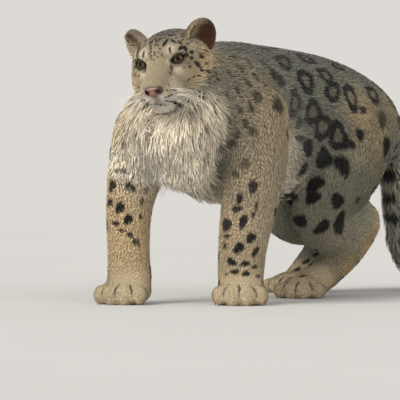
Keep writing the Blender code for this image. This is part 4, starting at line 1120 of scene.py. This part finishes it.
def add_node(tree, kind, inputs=None, **settings):
    """One node with its settings, and its inputs given as values or as other nodes' outputs."""
    node = tree.nodes.new(kind)
    for key, value in settings.items():
        setattr(node, key, value)
    for key, value in (inputs or {}).items():
        if isinstance(value, bpy.types.NodeSocket):
            tree.links.new(value, node.inputs[key])
        else:
            node.inputs[key].default_value = value
    return node


def new_material(name, **surface_values):
    """A material with its Principled surface set by constants, and its node tree."""
    material = bpy.data.materials.new(name)
    material.use_nodes = True
    surface = material.node_tree.nodes["Principled BSDF"]
    for key, value in surface_values.items():
        surface.inputs[key.replace("_", " ")].default_value = value
    return material, material.node_tree, surface


def rgba(colour):
    return (*linear(hex_levels(colour)), 1.0)


def vary(tree, surface, colour, pattern, low, high, dark, light):
    """Sets the surface's colour, darker or lighter as the pattern goes from low to high."""
    spread = add_node(tree, "ShaderNodeMapRange", {"Value": pattern, "From Min": low, "From Max": high,
                                                   "To Min": dark, "To Max": light})
    shaded = add_node(tree, "ShaderNodeVectorMath", {0: colour, 1: spread.outputs["Result"]},
                      operation="MULTIPLY")
    tree.links.new(shaded.outputs["Vector"], surface.inputs["Base Color"])


def emboss(tree, surface, pattern, strength, depth, invert=False):
    """Raises the surface, in looks only, by a pattern."""
    bump = add_node(tree, "ShaderNodeBump", {"Height": pattern, "Strength": strength, "Distance": depth},
                    invert=invert)
    tree.links.new(bump.outputs["Normal"], surface.inputs["Normal"])


def painted(tree):
    """The colour that paint() stores."""
    return add_node(tree, "ShaderNodeAttribute", attribute_name="tint").outputs["Color"]


def own_place(tree):
    """The place on the object, in metres."""
    return add_node(tree, "ShaderNodeTexCoord").outputs["Object"]


def hair_material(name, strand_width, strand_length, contrast, roughness):
    """Keratin hair: each tuft splits into fine strands, light and dark, with a soft sheen at its edges."""
    material, tree, surface = new_material(name, Roughness=roughness, Metallic=0.0, Sheen_Weight=0.10,
                                           Sheen_Roughness=0.55, Specular_IOR_Level=0.15)
    strands = add_node(tree, "ShaderNodeUVMap", uv_map="Strand")
    laid = add_node(tree, "ShaderNodeMapping", {"Vector": strands.outputs["UV"],
                                                "Scale": (1 / strand_width, 1 / strand_length, 1)})
    streaks = add_node(tree, "ShaderNodeTexNoise", {"Vector": laid.outputs["Vector"], "Scale": 1.0,
                                                    "Detail": 2.0}, noise_dimensions="2D").outputs["Fac"]
    vary(tree, surface, painted(tree), streaks, 0.3, 0.7, 1 - contrast, 1 + contrast)
    emboss(tree, surface, streaks, 0.5, 0.0006)
    return material


def undercoat_material():
    """Dense woolly underfur over the hide: matt, finely uneven at 1.2 mm, in the coat's own colours darkened
    by painted shade under the coat.
    """
    material, tree, surface = new_material("woolly_underfur", Roughness=0.9, Metallic=0.0, Sheen_Weight=0.2,
                                           Specular_IOR_Level=0.2)
    wool = add_node(tree, "ShaderNodeTexNoise", {"Vector": own_place(tree), "Scale": 1 / 0.0012,
                                                 "Detail": 2.0}).outputs["Fac"]
    vary(tree, surface, painted(tree), wool, 0.3, 0.7, 0.78, 1.08)
    emboss(tree, surface, wool, 0.6, 0.0008)
    return material


def nose_material():
    """Bare nose leather: pink brown, pebbled at 0.9 mm, darker at its top, with painted shade in the
    nostrils, moist.
    """
    material, tree, surface = new_material("nose_leather", Roughness=0.42, Metallic=0.0, Coat_Weight=0.25,
                                           Coat_Roughness=0.3)
    pebbles = add_node(tree, "ShaderNodeTexVoronoi", {"Vector": own_place(tree), "Scale": 1 / 0.0009})
    vary(tree, surface, painted(tree), pebbles.outputs["Distance"], 0.0, 0.7, 1.05, 0.82)
    emboss(tree, surface, pebbles.outputs["Distance"], 0.35, 0.0004, invert=True)
    return material


def eye_material(sign, shift):
    """Glass eye: pale yellow-green iris with fine spokes, round pupil and dark rim, under a clear gloss."""
    material, tree, surface = new_material(("right", "left")[sign > 0] + "_eye_glass", Roughness=0.3,
                                           Metallic=0.0, Coat_Weight=0.35, Coat_Roughness=0.03,
                                           Specular_IOR_Level=0.0)
    middle, axes = eye_frame(sign)
    turned = axes.transposed()
    centred = add_node(tree, "ShaderNodeMapping", {"Vector": own_place(tree),
                                                   "Location": -(turned @ (middle + shift)),
                                                   "Rotation": turned.to_euler()})
    parts = add_node(tree, "ShaderNodeSeparateXYZ", {"Vector": centred.outputs["Vector"]}).outputs
    flat = add_node(tree, "ShaderNodeCombineXYZ", {"Y": parts["Y"], "Z": parts["Z"]})
    radius = add_node(tree, "ShaderNodeVectorMath", {0: flat.outputs["Vector"]}, operation="LENGTH")
    ring = add_node(tree, "ShaderNodeMapRange", {"Value": radius.outputs["Value"],
                                                 "From Max": IRIS_RADIUS}).outputs["Result"]
    colours = add_node(tree, "ShaderNodeValToRGB", {"Fac": ring})
    pupil = PUPIL_RADIUS / IRIS_RADIUS
    stops = ((0.0, "060505"), (pupil, "060505"), (pupil + 0.05, "4a4029"), (0.58, "786a45"),
             (0.78, "594e33"), (0.90, "1a1610"), (1.0, "0e0b09"))
    while len(colours.color_ramp.elements) < len(stops):
        colours.color_ramp.elements.new(0.5)
    for element, (position, colour) in zip(colours.color_ramp.elements, stops):
        element.position = position
        element.color = rgba(colour)
    around = add_node(tree, "ShaderNodeMath", {0: parts["Y"], 1: parts["Z"]}, operation="ARCTAN2")
    turn = add_node(tree, "ShaderNodeCombineXYZ", {"X": around.outputs["Value"], "Y": ring})
    laid = add_node(tree, "ShaderNodeMapping", {"Vector": turn.outputs["Vector"], "Scale": (14, 2, 1)})
    spokes = add_node(tree, "ShaderNodeTexNoise", {"Vector": laid.outputs["Vector"], "Scale": 1.0,
                                                   "Detail": 3.0}).outputs["Fac"]
    vary(tree, surface, colours.outputs["Color"], spokes, 0.3, 0.7, 0.72, 1.2)
    return material


def whisker_material():
    """White keratin whiskers, smooth and faintly glossy."""
    material, tree, surface = new_material("whisker_keratin", Roughness=0.4, Metallic=0.0)
    tree.links.new(painted(tree), surface.inputs["Base Color"])
    return material


def floor_material():
    """Matt white seamless studio paper, very faintly mottled."""
    material, tree, surface = new_material("studio_paper", Roughness=0.9, Metallic=0.0)
    mottle = add_node(tree, "ShaderNodeTexNoise", {"Vector": own_place(tree), "Scale": 1.5})
    colours = add_node(tree, "ShaderNodeMix", {"Factor": mottle.outputs["Fac"]}, data_type="RGBA")
    colours.inputs[6].default_value = rgba("b6b6b6")
    colours.inputs[7].default_value = rgba("bcbcbc")
    tree.links.new(colours.outputs[2], surface.inputs["Base Color"])
    return material


def paint(mesh, levels):
    """Stores sRGB levels for each point as the colour that the materials read."""
    layer = mesh.attributes.new("tint", "FLOAT_COLOR", "POINT")
    light = linear(np.clip(levels, 0, 1))
    layer.data.foreach_set("color", np.column_stack([light, np.ones(len(light))]).ravel())


def lid_distance(points, sign):
    """How far each point of the lids is outside an eye's opening; 1 for points that aren't near it."""
    middle, axes = eye_frame(sign)
    out, left, up = ((points - np.array(middle)) @ np.array(axes)).T
    half, upper, lower = EYE_OPENING
    rise = np.where(up > 0, upper, lower) * np.maximum(1 - np.abs(left / half) ** LID_CURVE, 0.05)
    near = (np.hypot(left, up) < 0.024) & (out > 0)
    edge = np.hypot(np.maximum(np.abs(left) - half, 0), np.maximum(np.abs(up) - rise, 0))
    return np.where(near, np.minimum(edge, 1.0), 1.0)


def unwrap(item):
    """A smart unwrap of the skin's own shape, under the name that the coat's patches use."""
    bpy.context.view_layer.objects.active = item
    item.select_set(True)
    item.data.uv_layers.new(name="OFBake")
    bpy.ops.object.mode_set(mode="EDIT")
    bpy.ops.mesh.select_all(action="SELECT")
    bpy.ops.uv.smart_project(angle_limit=math.radians(66), island_margin=0.001)
    bpy.ops.object.mode_set(mode="OBJECT")
    item.select_set(False)


def grow_blades(mesh, tree, fields, marks, keep, rng, materials):
    """Plants blades all over a mesh, and returns them as pieces by region and size."""
    points, normals = vertex_data(mesh)
    lie, sizes, colour, region, droop, head_share = fields
    corners, loops, shares = scatter_roots(mesh, points, sizes[:, 1], keep, rng)
    root = at_roots(points, corners, shares)
    normal = unit(at_roots(normals, corners, shares))
    way = at_roots(lie, corners, shares)
    length, _, width, height, _ = at_roots(sizes, corners, shares).T
    own = at_roots(colour, corners, shares)
    sag = at_roots(droop, corners, shares)
    face = at_roots(head_share, corners, shares)
    patch = at_roots(read_rows(mesh.uv_layers["OFBake"].uv, "vector", 2), loops, shares)
    places = region[corners[:, 0]]
    count = len(root)

    way = flattened(way, normal)
    sideways = np.cross(normal, way)
    clump = slow_noise(root, 0.022, 3.0) + 0.5 * slow_noise(root, 0.009, 5.0)
    turn = clump * 0.42 + rng.normal(0, 0.11, count)
    way = way * np.cos(turn)[:, None] + sideways * np.sin(turn)[:, None]
    length = length * rng.uniform(0.72, 1.18, count) * (1 + 0.25 * slow_noise(root, 0.03, 7.0))
    width = width * rng.uniform(0.75, 1.25, count)
    height = height * rng.uniform(0.55, 1.15, count)
    shade = 1 + rng.normal(0, 0.055, count) + 0.06 * slow_noise(root, 0.05, 9.0)

    pieces = []
    number = {}
    for name in sorted(set(places)):
        for profile, chosen in ((SHORT_BLADE, length <= LONG_FROM), (LONG_BLADE, length > LONG_FROM)):
            rows = np.nonzero((places == name) & chosen)[0]
            limit = PIECE_TRIANGLES // len(blade_faces(len(profile) - 2))
            parts = max(1, math.ceil(len(rows) / limit))
            rows = rows[np.argsort(root[rows, 1], kind="stable")]
            for share in np.array_split(rows, parts):
                if len(share) == 0:
                    continue
                stations = blade_points(tree, root[share], normal[share], way[share], length[share],
                                        height[share], sag[share], profile)
                tints = [marked_colour(own[share], *marks.values(place), face[share]) * shade[share, None]
                         for place in stations]
                number[name] = number.get(name, 0) + 1
                pieces.append(blade_mesh(f"{name}_coat_{number[name]}", stations, normal[share], way[share],
                                         width[share], tints, patch[share], profile, materials[name]))
    return pieces


def ear_fields(points, normals, root, turn):
    """The ear's short coat: tan in front, red brown inside towards its outer edge, with a black rim."""
    off = points - np.array(root)
    axes = np.array(turn)
    _, left, up = (off @ axes).T
    half, _, height = EAR_SIZE
    spread = np.hypot(left / half, up / height)
    inside = smoothstep(0.0, 0.35, normals @ axes[:, 0]) * smoothstep(0.93, 0.80, spread)
    rim = smoothstep(0.80, 0.93, spread) * smoothstep(0.1, 0.35, up / height)
    outwards = off @ (axes[:, 1] * np.sign((axes[:, 1] @ HEAD_AXES)[1]))
    colour = np.tile(hex_levels("8f8068"), (len(points), 1))
    for tone, share in (("b7a585", inside), ("5f3a28", inside * smoothstep(-0.018, 0.004, outwards) * 0.95),
                        ("57402f", (1 - inside) * 0.35),
                        ("2a211b", rim * smoothstep(0.0, 0.02, outwards + 0.012) * 0.9)):
        colour = blended(colour, hex_levels(tone), share)
    lie = np.tile(axes[:, 2], (len(points), 1)) + 0.5 * unit(off)
    sizes = np.tile(EAR_COAT, (len(points), 1))
    sizes = blended(sizes, EAR_LINING, inside * smoothstep(-0.6, 0.0, -left / half))
    return flattened(lie, normals), sizes, colour


# Rows of whiskers: the first root from between the eyes, forwards, left and up, and how many there are
WHISKER_ROWS = ((0.050, 0.026, -0.062, 4), (0.046, 0.030, -0.069, 5), (0.042, 0.031, -0.076, 4))
WHISKER_RADIUS = 0.00045
WHISKER_LENGTH = 0.075
WHISKER_WHITE = "ece7da"


def whiskers(tree):
    """Rows of whiskers from each side of the muzzle, as thin closed tapering tubes."""
    dice = random.Random(SEED + 2)
    axes = head_axes()
    bm = bmesh.new()
    for sign in (-1, 1):
        for forwards, left, up, count in WHISKER_ROWS:
            for k in range(count):
                start = head_point(forwards - 0.007 * k, sign * (left + 0.004 * k), up - 0.001 * k)
                foot, normal, _, _ = tree.find_nearest(start)
                way = (axes @ Vector((0.10 - 0.12 * k, sign * 1.0, -0.10 + 9 * (up + 0.069)))).normalized()
                way = (way + normal * 0.25).normalized()
                length = WHISKER_LENGTH * dice.uniform(0.7, 1.1)
                fall = Vector((0, 0, -1)) * length * dice.uniform(0.25, 0.4)
                rows = []
                for step in range(7):
                    share = step / 6
                    point = foot - way * 0.002 + way * length * share + fall * share ** 2
                    radius = WHISKER_RADIUS * (1 - 0.8 * share)
                    rows.append((*point, radius, radius))
                loft(bm, rows, axes.col[2], sides=6, steps=1)
    item = mesh_object("whiskers", finish_bmesh(bm, "whiskers"))
    item.data.shade_smooth()
    paint(item.data, np.tile(hex_levels(WHISKER_WHITE), (len(item.data.vertices), 1)))
    item.data.materials.append(whisker_material())
    return item


def shaped_eye(sign, shift):
    """The eyeball with the low bulge of its cornea in front."""
    middle, axes = eye_frame(sign)
    name = ("right_eye_ball", "left_eye_ball")[sign > 0]
    turn = axes @ Matrix(((0, 0, 1), (1, 0, 0), (0, 1, 0)))
    ball = single_blob(name, middle, (EYE_RADIUS,) * 3, turn, 64, 40)
    for vert in ball.data.vertices:
        out = (vert.co - middle).normalized()
        front = max(0.0, (out.dot(axes.col[0]) - 0.80) / 0.20)
        vert.co += out * 0.0009 * front * (2 - front)
    ball.data.shade_smooth()
    ball.data.materials.append(eye_material(sign, shift))
    return ball


def soft_sun(name, origin, strength, spread, colour):
    """Soft light from far off in one direction, as from a wide diffuser."""
    data = bpy.data.lights.new(name, "SUN")
    data.energy = strength
    data.angle = math.radians(spread)
    data.color = linear(hex_levels(colour))
    item = bpy.data.objects.new(name, data)
    item.rotation_euler = (-Vector(origin)).to_track_quat("-Z", "Y").to_euler()
    bpy.context.scene.collection.objects.link(item)


def stage_and_camera(shift):
    """Pale paper floor, soft light from above and both sides, and the photograph's camera."""
    bm = bmesh.new()
    bmesh.ops.create_circle(bm, cap_ends=True, segments=96, radius=14.0)
    floor = mesh_object("paper_floor", finish_bmesh(bm, "paper_floor"))
    floor.data.materials.append(floor_material())
    soft_sun("key_light", (-0.35, -0.85, 0.75), 3.0, 40, "fffaf3")
    soft_sun("fill_light", (0.95, -0.35, 0.45), 0.7, 70, "ffffff")
    world = bpy.data.worlds.new("studio")
    bpy.context.scene.world = world
    world.use_nodes = True
    sky = world.node_tree.nodes["Background"].inputs
    sky["Color"].default_value = rgba("e2dfda")
    sky["Strength"].default_value = 0.95
    bpy.context.scene.view_settings.view_transform = "Standard"

    place, _, _, _ = camera_axes()
    data = bpy.data.cameras.new("camera")
    data.sensor_width = 36
    data.lens = PIXELS / IMAGE_SIZE * data.sensor_width
    camera = bpy.data.objects.new("camera", data)
    camera.location = place + shift
    aim = pixel_way(IMAGE_SIZE / 2, IMAGE_SIZE / 2)
    camera.rotation_euler = aim.to_track_quat("-Z", "Y").to_euler()
    bpy.context.scene.collection.objects.link(camera)
    bpy.context.scene.camera = camera


def finish_with(item, material):
    """Gives an object that one material on every face."""
    item.data.materials.clear()
    item.data.materials.append(material)
    item.data.polygons.foreach_set("material_index", np.zeros(len(item.data.polygons), int))


def sink_skin(skin, points, normals, depth):
    """Moves the skin in from the coat's outline by the coat's depth, but not the soles."""
    sunk = points - normals * depth[:, None]
    sunk[:, 2] = np.where(points[:, 2] < 0.004, points[:, 2], np.maximum(sunk[:, 2], 0.001))
    skin.data.vertices.foreach_set("co", sunk.ravel())
    skin.data.update()
    skin.data.shade_smooth()


def place_marks(tree, points, normals, part, head, lie):
    """The marks the photograph shows, their mirror images, the painted shade in the toe creases and the
    scattered marks.
    """
    marks = Marks(tree)
    marks.cast(BODY_MARKS, MARK_SCALE)
    body_rows = list(marks.rows)
    marks.cast(FACE_MARKS, FACE_MARK_SCALE)
    left = head_axes().col[1].copy()
    face_rows = [row for row in marks.rows[len(body_rows):] if (row[0] - MID_EYE).dot(left) > 0.012]
    marks.mirror(face_rows, MID_EYE, left, 0.001)
    marks.mirror(body_rows, Vector((-0.012, 0, 0)), Vector((1, 0, 0)), 0.008)
    paint_toe_crease_shade(marks)
    scatter_marks(marks, points, normals, part, head, lie)
    return marks


def coat_cover(points, normals, head, edge):
    """Where blades grow: not at the lids' rims, under the soles or on the nose leather."""
    keep = np.where(edge < BARE_LID, 0.0, 1.0)
    keep *= 1 - smoothstep(0.9, 0.98, -normals[:, 2]) * (points[:, 2] < 0.006)
    return keep * smoothstep(0.006, 0.009, np.linalg.norm(head - np.array([0.066, 0, -0.053]), axis=1))


def dress_ear(ear, root, turn, sign, rng, undercoat, hair):
    """Colours an ear, and grows its coat; the right one is paler."""
    unwrap(ear)
    ear.data.shade_smooth()
    points, normals = vertex_data(ear.data)
    lie, sizes, colour = ear_fields(points, normals, root, turn)
    ones = np.ones(len(points))
    if sign < 0:
        colour = blended(colour, hex_levels("b9ad96"), ones * 0.45)
    # painted shade: the ear's skin under its coat is drawn darker
    paint(ear.data, colour * EAR_SKIN_PAINTED_SHADE)
    finish_with(ear, undercoat)
    side = ("right_ear", "left_ear")[sign > 0]
    fields = (lie, sizes, colour, np.array([side] * len(points)), ones * 0, ones)
    tree = tree_of(ear.data)
    return ear, grow_blades(ear.data, tree, fields, Marks(tree), ones, rng, {side: hair}), side


def dress_nose():
    """The nose leather with its colours, darker at its top and at its sides, with painted shade in the
    nostrils.
    """
    nose = nose_leather()
    points, _ = vertex_data(nose.data)
    forwards, side, up = ((points - np.array(MID_EYE)) @ HEAD_AXES).T
    side = np.abs(side)
    off = (np.stack([forwards, side, up], axis=1) - (0.0715, 0.0135, -0.0565)) * (1, 1, 1.5)
    colour = np.tile(hex_levels("8c6254"), (len(points), 1))
    # the last tone is painted shade in the hollows of the nostrils
    for tone, share in (("2c1d18", smoothstep(-0.049, -0.0445, up) * 0.9),
                        ("2c1d18", smoothstep(0.009, 0.016, side) * 0.85),
                        ("1d110e", smoothstep(0.0095, 0.0055, np.linalg.norm(off, axis=1)) * 0.97)):
        colour = blended(colour, hex_levels(tone), share)
    paint(nose.data, colour)
    nose.data.shade_smooth()
    finish_with(nose, nose_material())
    return nose


def main():
    """Makes all pieces in the animal's frame and moves them onto the solids."""
    low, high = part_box("left_eye")
    shift = (low + high) / 2 - eye_frame(1)[0]
    shift.z = 0.0
    rng = np.random.default_rng(SEED)

    skin = build_skin()
    ears = [(*build_ear(sign), sign) for sign in (1, -1)]
    points, normals = vertex_data(skin.data)
    lie, sizes, colour, part, head = coat_fields(points, normals)
    lie = unit(evened(skin.data, lie, 8))
    edge = np.minimum(lid_distance(points, -1), lid_distance(points, 1))
    sink_skin(skin, points, normals, sizes[:, 4] * smoothstep(0.004, 0.014, edge))
    unwrap(skin)
    tree = tree_of(skin.data)
    points, normals = vertex_data(skin.data)

    marks = place_marks(tree, points, normals, part, head, lie)
    on_head = smoothstep(0.3, 0.6, part["head"])
    # painted shade: the skin under the coat is drawn darker, as the blades shade it
    base = marked_colour(colour, *marks.values(points), on_head) * SKIN_PAINTED_SHADE
    lips, _ = along_line(points, [(*head_point(*place), 0.0032, 0.0032) for place in LIPS])
    bare = np.maximum(smoothstep(0.0045, 0.0030, edge), smoothstep(1.6, 0.9, lips))
    paint(skin.data, blended(base, hex_levels("1b1512"), bare))
    near_bare = np.maximum(smoothstep(0.0062, 0.0040, edge), smoothstep(1.9, 1.1, lips) * 0.85)
    colour = blended(colour, hex_levels("231a16"), near_bare)
    undercoat = undercoat_material()
    finish_with(skin, undercoat)

    names = np.array([GROUPED.get(name, name) for name in COATS])
    region = names[np.stack([part[name] for name in COATS], axis=1).argmax(1)]
    droop = 0.10 * part["throat"] + 0.12 * smoothstep(0.035, 0.055, sizes[:, 0]) * part["torso"]
    keep = coat_cover(points, normals, head, edge)
    long_hair = hair_material("soft_guard_hair", 0.0009, 0.012, 0.16, 0.72)
    short_hair = hair_material("short_face_hair", 0.0006, 0.004, 0.12, 0.75)
    hair = {name: short_hair if name == "head" else long_hair for name in names}
    fields = (lie, sizes, colour, region, droop, on_head)
    coat = grow_blades(skin.data, tree, fields, marks, keep, rng, hair)
    dressed_ears = [dress_ear(*ear, rng, undercoat, short_hair) for ear in ears]
    nose = dress_nose()
    eyes = {sign: shaped_eye(sign, shift) for sign in (1, -1)}
    hairs = whiskers(tree)

    everything = [skin, nose, hairs, *eyes.values(), *coat]
    for ear, ear_coat, _ in dressed_ears:
        everything += [ear, *ear_coat]
    for item in everything:
        item.data.transform(Matrix.Translation(shift))
        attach(item, "root")
    flesh = [row["node"] for row in frame["record"]["subparts"]
             if row["node"] not in ("left_eye", "right_eye", "nose", "left_ear", "right_ear")]
    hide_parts(*flesh)
    for ear, ear_coat, side in dressed_ears:
        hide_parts(side)
    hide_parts("nose")
    for sign, name in ((1, "left_eye"), (-1, "right_eye")):
        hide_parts(name)
    stage_and_camera(shift)


main()
